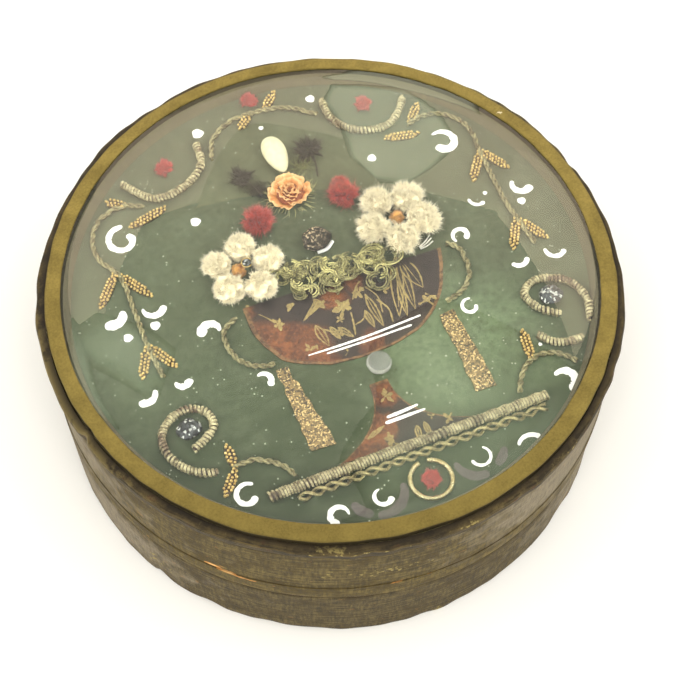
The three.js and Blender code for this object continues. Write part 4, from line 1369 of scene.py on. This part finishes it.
def make_floret(side, middle, reach, stalk, blades, dark, moss):
    """A dark wispy tuft with a spiky head, and thin threads beside it."""
    floret = Piece("dark_floret_" + side, "dark_tuft", ["floret_" + side], [dark, moss])
    x, y = middle
    ball(floret, (x, y, GROUND + 0.7), (0.9, 1.1, 0.7), dents=0.2, size=0.6, shade=0.2)
    ways = floret.random.uniform(0, FULL, blades)
    roots = np.column_stack([x + 0.5 * np.cos(ways), y + 0.6 * np.sin(ways), np.full(blades, GROUND + 0.5)])
    roots[:, 2] += floret.random.uniform(0, 0.9, blades)
    directions = circle(0, 0.25, floret.random.uniform(0.0, 0.55, blades), 1, ways)
    spikes(floret, roots, directions, reach * floret.random.uniform(0.35, 1.0, blades), 0.42, 0.35)
    ways = np.radians(90) + np.linspace(-2.6, 2.6, 9) + floret.random.normal(0, 0.12, 9)
    feet = np.tile((x, y, GROUND + 1.0), (9, 1))
    directions = circle(0, 0, floret.random.uniform(0, 0.3, 9), 1, ways)
    spikes(floret, feet, directions, reach * floret.random.uniform(0.75, 1.15, 9), 1.3, 0.2)
    count = 90
    hairs = roots[floret.random.integers(0, blades, count)]
    directions = floret.random.normal(size=(count, 3)) * [1, 1, 0.3] + [0, 0.1, 0.15]
    spikes(floret, hairs, directions, reach * floret.random.uniform(0.5, 1.25, count), 0.09, 0.5)
    halfway = ((x + stalk[0]) / 2 + 0.4, (y + stalk[1]) / 2, GROUND + 0.6)
    tube(floret, smooth_route([(x, y, GROUND + 0.5), halfway, (*stalk, GROUND + 0.3)], 0.3), 0.17)
    count = 130
    across = WISPS[side][0] + floret.random.normal(0, 0.9, count)
    up = WISPS[side][1] + floret.random.normal(0, 0.9, count)
    roots = np.column_stack([across, up, np.full(count, GROUND + 0.3)])
    directions = floret.random.normal(size=(count, 3)) * [1, 1, 0.3] + [0, 0.2, 0.15]
    spikes(floret, roots, directions, floret.random.uniform(0.8, 2.2, count), 0.11, 0.6, 1, (0.3, 0.9))
    floret.make()


def make_nugget(stone, white):
    nugget = Piece("dark_nugget", "ore_stone", ["ore_nugget"], [stone, white])
    lowest, highest = low("ore_nugget"), high("ore_nugget")
    middle = (lowest + highest) / 2
    half = (highest - lowest) / 2
    rings, sides = 30, 48
    ways = all_round(rings, sides, 86).reshape(-1, 3)
    planes = unit(nugget.random.normal(size=(26, 3)))
    cut = (ways @ planes.T / nugget.random.uniform(0.86, 1.0, 26)).max(1)
    points = ways / np.maximum(cut, 0.9)[:, None] * 0.93
    points *= 1 + 0.02 * rumple(points, 0.12, nugget.random)[:, None]
    capped(nugget, (points * half + middle).reshape(rings, sides, 3))
    chip = middle[:2] + [(-0.6, -2.3), (1.2, -2.2), (2.7, -1.1)]
    tube(nugget, smooth_route(raised(chip, 0.6), 0.2), 0.33, finish=1)
    nugget.make(crease=25)


# Middles of the moss's clumps, and of the curls that hang out of them
CLUMPS = [
    (-5.3, 3.4), (-2.8, 3.9), (0.1, 2.8), (0.8, 0.5), (3, 1.3),
    (5.4, 2.1), (8, 2.4), (8.8, 0.4), (8.7, -1.6),
]
HANGING_CURLS = [(-5.4, 1.6), (-4.1, -0.2), (-7.8, 4.2), (-0.4, 0.6), (3.4, 2.6), (-5.2, 4.8), (10.2, 1.8)]


def make_moss(thread, shadow):
    """Curls of parallel threads, several to a clump."""
    moss = Piece("curled_thread", "moss_thread", ["moss"], [thread, shadow])
    for x, y in CLUMPS + HANGING_CURLS:
        if (x, y) in CLUMPS:
            ball(moss, (x, y, GROUND + 0.5), (1.2, 1.2, 0.2), finish=1, rings=8, sides=14,
                 dents=0.2, size=0.8, shade=0.1)
        for _ in range(4):
            start = moss.random.uniform(0, 360)
            sweep = moss.random.uniform(120, 300) * moss.random.choice([-1, 1])
            radius = moss.random.uniform(0.9, 2.3)
            shift = moss.random.normal(0, 0.8, 2)
            height = moss.random.uniform(0.5, 1.9)
            tilt = moss.random.uniform(-0.35, 0.35, 2)
            light = moss.random.uniform(0.0, 1.0) ** 0.7
            for k in range(moss.random.integers(2, 4)):
                reach = radius - 0.46 * k
                if reach < 0.35:
                    continue
                loop = arc(x + shift[0], y + shift[1], reach, start + 6 * k, sweep, 0.85, 14)
                off = loop - [x + shift[0], y + shift[1]]
                rise = height + off @ tilt + moss.random.uniform(-0.15, 0.15)
                route = np.column_stack([loop, GROUND + rise.clip(0.3, 2.5)])
                tube(moss, smooth_route(route, 0.3), 0.15, 5, 0, light * moss.random.uniform(0.7, 1.0))
    moss.make(crease=70)


# Purl, garlands and the small things round the picture: routes and places in X and Y
PURL_RADIUS = 0.75
PURL_GAPS = 0.3
SLIPPED_GAPS = {"crescent_left": 1.1}
PURLS = {
    "crescent_left": [[-26.8, 33.4], [-22.2, 28.3], [-15.9, 29.2], [-12.2, 32.5], [-11.5, 37.1]],
    "crescent_right": [
        [13.4, 38], [13.4, 33.8], [15.5, 30.1], [19, 28.2], [22.7, 28.2], [25.8, 30.5], [27.6, 33],
    ],
    "spiral_left": [
        [-30.2, -26.3], [-32.7, -25.3], [-35.5, -22.7], [-36.7, -19.5], [-36.3, -16.7], [-34.2, -14.5],
        [-30.5, -13.8], [-28.1, -15.7], [-27.9, -18], [-30.1, -20], [-32.4, -21],
    ],
    "spiral_right": [
        [33.6, -20.3], [30.7, -17.7], [29.7, -14.3], [31.8, -12.7],
        [35.1, -13], [38.2, -15.3], [39.2, -19.2], [37.9, -23],
    ],
    "small_arc": [[28.3, -22.5], [30.1, -24.7], [32.9, -25.7], [35, -25.7]],
}
SPRIG = [[17, 1], [18.4, 1.4], [19.7, 2.1]]
STONES = {"left": (-31.9, -17.2), "right": (33.9, -16.1)}
RING_PLACE = (0.9, CORD_Y - CORD_RADIUS - GAP - 3.8)
DOTS = {"top": (1, 43), "left": (-18.6, 34.3), "right": (20.2, 34.6), "bottom": RING_PLACE}

GARLANDS = {
    "top": {
        "stem": [[-10, 33], [-8.4, 37], [-4.5, 39.7], [1, 40.2], [6.9, 39], [11.5, 35.5]],
        "leaves": [[[2.8, 40.3], [6.2, 43.5]], [[-0.3, 40], [-2.9, 37.7]]],
    },
    "left": {
        "stem": [
            [-24.6, 27.6], [-27.6, 29], [-33.1, 27.5], [-35.5, 23.2], [-35.3, 19.5], [-33.4, 16],
            [-33, 7.8], [-33.1, 0.7], [-32.6, -6.4],
        ],
        "leaves": [
            [[-27.8, 29.2], [-30.6, 31.2]], [[-33.8, 16], [-38.1, 10.4]], [[-33.2, 15.6], [-29.3, 9.4]],
            [[-33.3, 0], [-35.9, -5.4]], [[-32.9, 0.2], [-29.9, -5.3]],
        ],
    },
    "right": {
        "stem": [
            [26, 26.9], [29, 27.8], [32.1, 27.3], [35, 24.8], [36.2, 21.3], [35.8, 17],
            [35.4, 11], [35.3, 3.2], [35.8, -1.6], [36.2, -5.4],
        ],
        "leaves": [
            [[26.4, 27.2], [29.8, 30.9]], [[35.9, 16.6], [39, 11.2]], [[35.7, 16.4], [31.8, 10.9]],
            [[35.4, 0.5], [32.1, -5.1]], [[35.7, 0.3], [38.7, -5.2]],
        ],
    },
    "lower_right": {
        "stem": [[32.2, -29.4], [30.4, -27.2], [27.1, -26], [24, -27], [22, -29.1], [20.8, -31.2]],
        "leaves": [[[25.4, -26.2], [26.4, -20.6]]],
    },
    "lower_left": {
        "stem": [[-27.4, -26.4], [-24.7, -26.1], [-21.5, -27.7], [-19.5, -29.8], [-18.9, -31.4]],
        "leaves": [[[-27.3, -26.2], [-27.2, -22]], [[-27.3, -26.6], [-30.5, -30.5]]],
    },
}
LONG_LEAVES = {"left": [[-21.2, 26], [-28.4, 24.4]], "right": [[20.9, 25.7], [27.2, 24.4]]}
LEAF_WIDTH = 1.9
LEAF_GRAIN = 0.62


def grain(piece, x, y, size, finish):
    """One bead of a leaf: a small cut lump."""
    turn = turns(6) + piece.random.uniform(0, 1)
    rows = []
    for share, rise in ((0.5, -0.45), (1, -0.1), (0.85, 0.25), (0.35, 0.5)):
        rows.append(circle(x, y, GROUND + 0.42 + rise * size, share * size / 2, turn))
    capped(piece, rows, finish)


def bead_leaf(piece, start, tip, finish, backing):
    """A pointed leaf of beaded gilt strands laid side by side."""
    start, tip = np.array(start, float), np.array(tip, float)
    along = tip - start
    length = np.linalg.norm(along)
    along /= length
    across = np.array([-along[1], along[0]])
    steps = int(length / LEAF_GRAIN)
    for i in range(steps + 1):
        share = i / steps
        half = LEAF_WIDTH / 2 * math.sin(math.pi * (0.08 + share * 0.86)) ** 0.5
        lines = max(1, round(2 * half / LEAF_GRAIN))
        for j in range(lines):
            off = (j - (lines - 1) / 2) * LEAF_GRAIN
            slip = piece.random.normal(0, 0.035, 2)
            place = start + along * (length * share + 0.5 * LEAF_GRAIN * (j % 2)) + across * off + slip
            grain(piece, *place, LEAF_GRAIN * piece.random.uniform(0.8, 1.0), finish)
    share = np.linspace(0.02, 0.98, 12)
    half = LEAF_WIDTH * 0.47 * np.sin(math.pi * share) ** 0.5
    left = start + along * length * share[:, None] - across * half[:, None]
    right = start + along * length * share[:, None] + across * half[:, None]
    outline = np.concatenate([left, right[::-1]])
    flat_sheet(piece, outline, start + along * length / 2, 0.02, backing, backing)


def make_garland(place, gilt, bright, dark):
    garland = Piece("wire_garland_" + place, "gilt_wire", ["garland_" + place], [gilt, bright, dark])
    twisted(garland, GARLANDS[place]["stem"], WIRE_RADIUS, 2.8)
    for start, tip in GARLANDS[place]["leaves"]:
        bead_leaf(garland, start, tip, 1, 2)
    garland.make(crease=60)


def make_stone(side, dark):
    stone = Piece("foiled_stone_" + side, "foil_stone", ["stone_" + side], [dark])
    x, y = STONES[side]
    ball(stone, (x, y, GROUND + 0.7), (2.15, 1.85, 0.7), dents=0.05, size=0.7, rings=22, sides=40)
    stone.make(crease=20)


def make_purl(name, wire_finish, core):
    rod = Piece("purl_" + name, "silver_purl", [name], [wire_finish, core])
    purl(rod, PURLS[name], PURL_RADIUS, 0.6, SLIPPED_GAPS.get(name, PURL_GAPS))
    rod.make(crease=60)


def make_sprig(silver):
    """Three fine silver threads that spread to one side."""
    sprig = Piece("silver_threads", "silver_purl", ["silver_sprig"], [silver])
    for shift, spread in ((-0.25, -0.35), (0, 0.1), (0.25, 0.5)):
        route = [(x, y + shift + spread * (x - SPRIG[0][0]) * 0.4) for x, y in SPRIG]
        tube(sprig, smooth_route(raised(route, 0.7), 0.2), 0.13)
    sprig.make()


def make_long_leaf(side, bright, dark):
    leaf = Piece("beaded_leaf_" + side, "beaded_gilt", ["long_leaf_" + side], [bright, dark])
    bead_leaf(leaf, *LONG_LEAVES[side], 0, 1)
    leaf.make(crease=60)


def make_brass_ring(brass):
    ring = Piece("open_brass_ring", "brass_wire", ["brass_ring"], [brass])
    hoop = arc(*RING_PLACE, 3.4, 102, 336, points=60)
    tube(ring, raised(hoop, 0.4), 0.4, 10)
    ring.make()


# Put together
card = plain_card("bare_card", (0.2, 0.15, 0.09), (0.36, 0.28, 0.17))
lining = plain_card("lining_paper", (0.06, 0.052, 0.022), (0.12, 0.105, 0.05))
base_paper = wall_paper("base_band_paper", (0.036, 0.025, 0.009), (0.155, 0.118, 0.05), (0.05, 0.034, 0.012))
lid_paper = wall_paper("lid_band_paper", (0.044, 0.031, 0.009), (0.18, 0.135, 0.05), (0.06, 0.041, 0.012))
strip_paper = wall_paper("strip_gilt_paper", (0.06, 0.042, 0.011), (0.2, 0.148, 0.048), (0.06, 0.042, 0.012))
rim = rim_paper()
gilt = gilt_paper()
white = brushed_paint("white_paint", (0.86, 0.86, 0.84), (0.78, 0.78, 0.75))
violet = brushed_paint("violet_paint", (0.075, 0.06, 0.052), (0.042, 0.034, 0.03))
bowl_shell = shell_paper(-9.1, [(-0.8, -2.8, 2.4), (3.6, -1, 1.6), (-16, 0.5, 1.8), (2, -13, 2.2)])
foot_shell = shell_paper(-33, [(-6, -31, 3.4), (0.5, -23, 2.4), (-2.5, -28.5, 2.6)])
edge = copper_edge()
print_gilt = gilt_paper("printed_gilt", (0.34, 0.265, 0.1), (0.15, 0.115, 0.045))
purl_wire = wire("pale_purl_wire", (0.13, 0.105, 0.045), (0.52, 0.47, 0.27), 0.45, 0.2, 1.1,
                 dark=(0.09, 0.05, 0.025))
bar_wire = wire("bar_purl_wire", (0.12, 0.095, 0.04), (0.46, 0.41, 0.235), 0.45, 0.2, 0.8,
                dark=(0.07, 0.04, 0.018))
core = wire("dark_core", (0.03, 0.022, 0.014), (0.08, 0.055, 0.035), 0.7, 0.1)
gilt_wire = wire("olive_gilt_wire", (0.08, 0.065, 0.025), (0.36, 0.33, 0.17), 0.35, 0.45)
cord_wire = wire("cord_gilt_wire", (0.075, 0.058, 0.02), (0.46, 0.4, 0.19), 0.3, 0.5)
bright = wire("bright_beaded_gilt", (0.36, 0.24, 0.06), (0.92, 0.7, 0.28), 0.25, 0.5, 0.7)
dark_backing = wire("leaf_backing", (0.025, 0.016, 0.008), (0.09, 0.06, 0.025), 0.6, 0.2)
brass = wire("pale_brass", (0.4, 0.32, 0.14), (0.8, 0.72, 0.42), 0.25, 0.9)
silver = wire("silver_thread", (0.4, 0.4, 0.36), (0.85, 0.83, 0.74), 0.35, 0.3)
cotton = pile("chenille_cotton", (0.6, 0.5, 0.3), (0.98, 0.9, 0.66), 0.9, 0.15)
orange = pile("orange_pile", (0.28, 0.1, 0.02), (0.66, 0.37, 0.08))
wool = pile("red_wool_pile", (0.09, 0.008, 0.007), (0.6, 0.075, 0.05))
dot_wool = pile("pink_red_wool", (0.3, 0.03, 0.025), (0.56, 0.07, 0.058))
dark_pile = pile("dark_floret_pile", (0.005, 0.004, 0.003), (0.034, 0.026, 0.02), sheen=0)
green_pile = pile("grey_green_wisps", (0.08, 0.09, 0.03), (0.32, 0.32, 0.13), sheen=0)
rose_paper = thin_paper("rose_paper", (0.2, 0.045, 0.01), (0.66, 0.3, 0.09), (0.82, 0.56, 0.27))
bud_paper = thin_paper("bud_paper", (0.36, 0.33, 0.15), (0.56, 0.53, 0.32), (0.62, 0.6, 0.4))
leaf_wisp = pile("leaf_wisps", (0.14, 0.15, 0.05), (0.45, 0.42, 0.18))
moss_thread = wire("moss_thread", (0.06, 0.052, 0.015), (0.86, 0.8, 0.34), 0.3, 0.2, 0.8)
foiled = foil()
moss_shadow = pile("moss_shadow", (0.02, 0.022, 0.01), (0.06, 0.06, 0.025))
glass = clear("clear_domed_glass", 0.0, (0.97, 0.985, 0.97))
bead_glass = clear("bead_glass", 0.12, (0.68, 0.7, 0.64), 0.85, 0.35)

make_base(card, base_paper, lining)
make_lid(lid_paper, strip_paper, rim, card)
make_ring(gilt)
make_spacer(lining)
make_board(painted_ground(), white, violet, card)
make_glass(glass)
make_bowl(bowl_shell, edge, print_gilt, white)
make_foot(foot_shell, edge, print_gilt, white)
glitter = glitter_paper()
for side, sizes in RIBBONS.items():
    make_ribbon(side, glitter=glitter, **sizes)
make_bead(bead_glass)
make_table(bar_wire, core, cord_wire)
for side in HANDLES:
    make_handle(side, gilt_wire)
make_flower("left", cotton, 1.15, 10)
make_flower("right", cotton, 1.7, 10)
for side in FLOWERS:
    make_tuft(side, orange, foiled, bright)
make_pompom("left", -7.2, 16.5, wool)
make_pompom("right", 8.8, 17, wool)
for place, (x, y) in DOTS.items():
    make_dot(place, x, y, dot_wool)
make_rose(rose_paper, leaf_wisp)
make_bud(bud_paper)
for side, sizes in FLORETS.items():
    make_floret(side, dark=dark_pile, moss=dark_pile if side == "left" else green_pile, **sizes)
make_nugget(ore(), white)
make_moss(moss_thread, moss_shadow)
for side in STONES:
    make_stone(side, foiled)
for name in PURLS:
    make_purl(name, purl_wire, core)
make_sprig(silver)
for place in GARLANDS:
    make_garland(place, gilt_wire, bright, dark_backing)
for side in LONG_LEAVES:
    make_long_leaf(side, bright, dark_backing)
make_brass_ring(brass)


# The floor that it stands on, with its reach in metres
FLOOR_REACH = 4.0


def make_floor():
    f = Finish("pale_floor", Roughness=0.8)
    f.set("Base Color", f.tint((0.98, 0.97, 0.94), f.noise(60, 2), 0.3, 0.7, (1.0, 0.99, 0.96)))
    mesh = bpy.data.meshes.new("floor")
    corners = [(-FLOOR_REACH, -FLOOR_REACH, 0), (FLOOR_REACH, -FLOOR_REACH, 0)]
    corners += [(FLOOR_REACH, FLOOR_REACH, 0), (-FLOOR_REACH, FLOOR_REACH, 0)]
    mesh.from_pydata(corners, [], [(0, 1, 2, 3)])
    mesh.materials.append(f.material)
    floor = placed("floor", mesh)
    floor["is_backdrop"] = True


# Camera: placed from the middle of the gilt ring's top
CAMERA_DISTANCE = 247.55
CAMERA_ELEVATION = 56.91
CAMERA_PAN = -0.33
CAMERA_TILT = -2.92
CAMERA_ROLL = 0.09
FOCAL_PIXELS = 1452
PHOTO_HEIGHT = 700
SENSOR = 36


def make_camera():
    away = toward(0, CAMERA_ELEVATION)
    forward = -away
    right = Matrix.Rotation(-PICTURE_TURN, 3, "Z") @ Vector((1, 0, 0))
    up = right.cross(forward)
    for degrees, axis_name in ((CAMERA_PAN, "up"), (CAMERA_TILT, "right"), (CAMERA_ROLL, "forward")):
        axis = {"up": up, "right": right, "forward": forward}[axis_name].copy()
        turn = Matrix.Rotation(math.radians(degrees), 3, axis)
        forward, right, up = turn @ forward, turn @ right, turn @ up
    data = bpy.data.cameras.new("camera")
    data.sensor_width = SENSOR
    data.lens = FOCAL_PIXELS * SENSOR / PHOTO_HEIGHT
    data.clip_start = 0.01
    camera = placed("camera", data)
    facing = Matrix((right, up, -forward)).transposed().to_4x4()
    place = Vector((0, 0, RING_TOP)) * MM + away * CAMERA_DISTANCE * MM
    camera.matrix_world = Matrix.Translation(place) @ facing
    bpy.context.scene.camera = camera


def reflected_card(name, spans, colour, distance, soft):
    """A glowing card that only shows as a reflection: rows of elevation, first and last azimuth.

    Its glow fades over the share of its width and height next to its edges.
    """
    rows, columns = 30, 40
    down, along = np.linspace(0, 1, rows), np.linspace(0, 1, columns)
    corners = [np.interp(down, np.linspace(0, 1, len(spans)), column) for column in zip(*spans)]
    points = []
    for elevation, first, last in zip(*corners):
        for azimuth in np.linspace(first, last, columns):
            points.append(toward(azimuth, elevation) * distance + Vector((0, 0, RING_TOP * MM)))
    mesh = bpy.data.meshes.new(name)
    mesh.from_pydata([tuple(point) for point in points], [], net(rows, columns, closed=False).tolist())
    edge = np.minimum(np.minimum(down, 1 - down)[:, None], np.minimum(along, 1 - along)[None, :])
    fade = np.clip(edge / soft, 0, 1) if soft else np.ones_like(edge)
    mesh.attributes.new("fade", "FLOAT", "POINT").data.foreach_set("value", fade.ravel().astype(np.float32))
    material = bpy.data.materials.new(name)
    material.use_nodes = True
    nodes = material.node_tree.nodes
    nodes.remove(nodes["Principled BSDF"])
    glow = nodes.new("ShaderNodeEmission")
    glow.inputs["Color"].default_value = (*colour, 1)
    fade = nodes.new("ShaderNodeAttribute")
    fade.attribute_name = "fade"
    material.node_tree.links.new(fade.outputs["Fac"], glow.inputs["Strength"])
    material.node_tree.links.new(glow.outputs[0], nodes["Material Output"].inputs["Surface"])
    mesh.materials.append(material)
    made = placed(name, mesh)
    made.visible_camera = made.visible_diffuse = made.visible_shadow = made.visible_transmission = False
    made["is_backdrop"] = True


# What the glass reflects: rows of elevation, first and last azimuth, then colour, distance and softness
REFLECTIONS = {
    "back_right": ([(58, 134, 138), (48, 143, 160), (10, 138, 160)], (3.6, 3.0, 2.25), 1.5, 0),
    "back_middle": ([(48, 159.5, 203.5), (10, 159.5, 203.5)], (2.9, 2.35, 1.8), 1.5, 0),
    "back_arch": ([(48.5, 174, 197), (45, 176, 194), (43, 179, 192), (41, 187, 189.5)],
                  (1.8, 1.5, 1.05), 1.38, 0),
    "back_left": ([(58, 220, 223), (48, 203, 223), (10, 203, 223)], (3.1, 2.5, 1.95), 1.5, 0),
    "window": ([(47.5, 171, 174), (45, 168, 178), (42, 166, 179), (39, 169, 181), (37, 173, 180)],
               (4.0, 4.0, 3.0), 1.35, 0.08),
    "right_panel": ([(79, 122, 164), (75, 128, 178), (69, 128, 169), (64, 128, 173), (58, 136, 163)],
                    (2.0, 2.3, 1.65), 1.4, 0.3),
    "left_panel": ([(64, 215, 217), (61, 208, 219), (58, 210, 221), (54, 215, 222)],
                   (2.6, 2.95, 2.2), 1.4, 0.3),
}

# Soft light: azimuth, elevation, strength, spread in degrees and colour
SUNS = {
    "left_light": (-80, 48, 0.32, 70, (1.0, 0.98, 0.94)),
    "right_light": (80, 48, 0.34, 70, (1.0, 0.98, 0.94)),
    "front_left_glint": (-28, 42, 0.12, 14, (1.0, 0.98, 0.95)),
    "front_right_glint": (30, 45, 0.12, 14, (1.0, 0.98, 0.95)),
}
WORLD_COLOUR = (1, 0.98, 0.91, 1)
WORLD_STRENGTH = 0.78


def soft_sun(name, azimuth, elevation, strength, spread, colour):
    data = bpy.data.lights.new(name, "SUN")
    data.energy = strength * math.pi
    data.angle = math.radians(spread)
    data.cycles.use_multiple_importance_sampling = False
    data.color = colour
    light = placed(name, data)
    light.rotation_euler = toward(azimuth, elevation).to_track_quat("Z", "Y").to_euler()


def make_light():
    """Even light from all round, a little more from left and right, and what the glass reflects."""
    world = bpy.data.worlds.new("studio")
    world.use_nodes = True
    world.node_tree.nodes["Background"].inputs["Color"].default_value = WORLD_COLOUR
    world.node_tree.nodes["Background"].inputs["Strength"].default_value = WORLD_STRENGTH
    world.cycles.sampling_method = "NONE"
    bpy.context.scene.world = world
    for name, sun in SUNS.items():
        soft_sun(name, *sun)
    for name, card_of_light in REFLECTIONS.items():
        reflected_card(name, *card_of_light)


make_floor()
make_camera()
make_light()
bpy.context.scene.view_settings.view_transform = "Standard"

sizes = {"cad": [list(corner) for corner in solid_bounds], "visual": [list(corner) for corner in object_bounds()]}
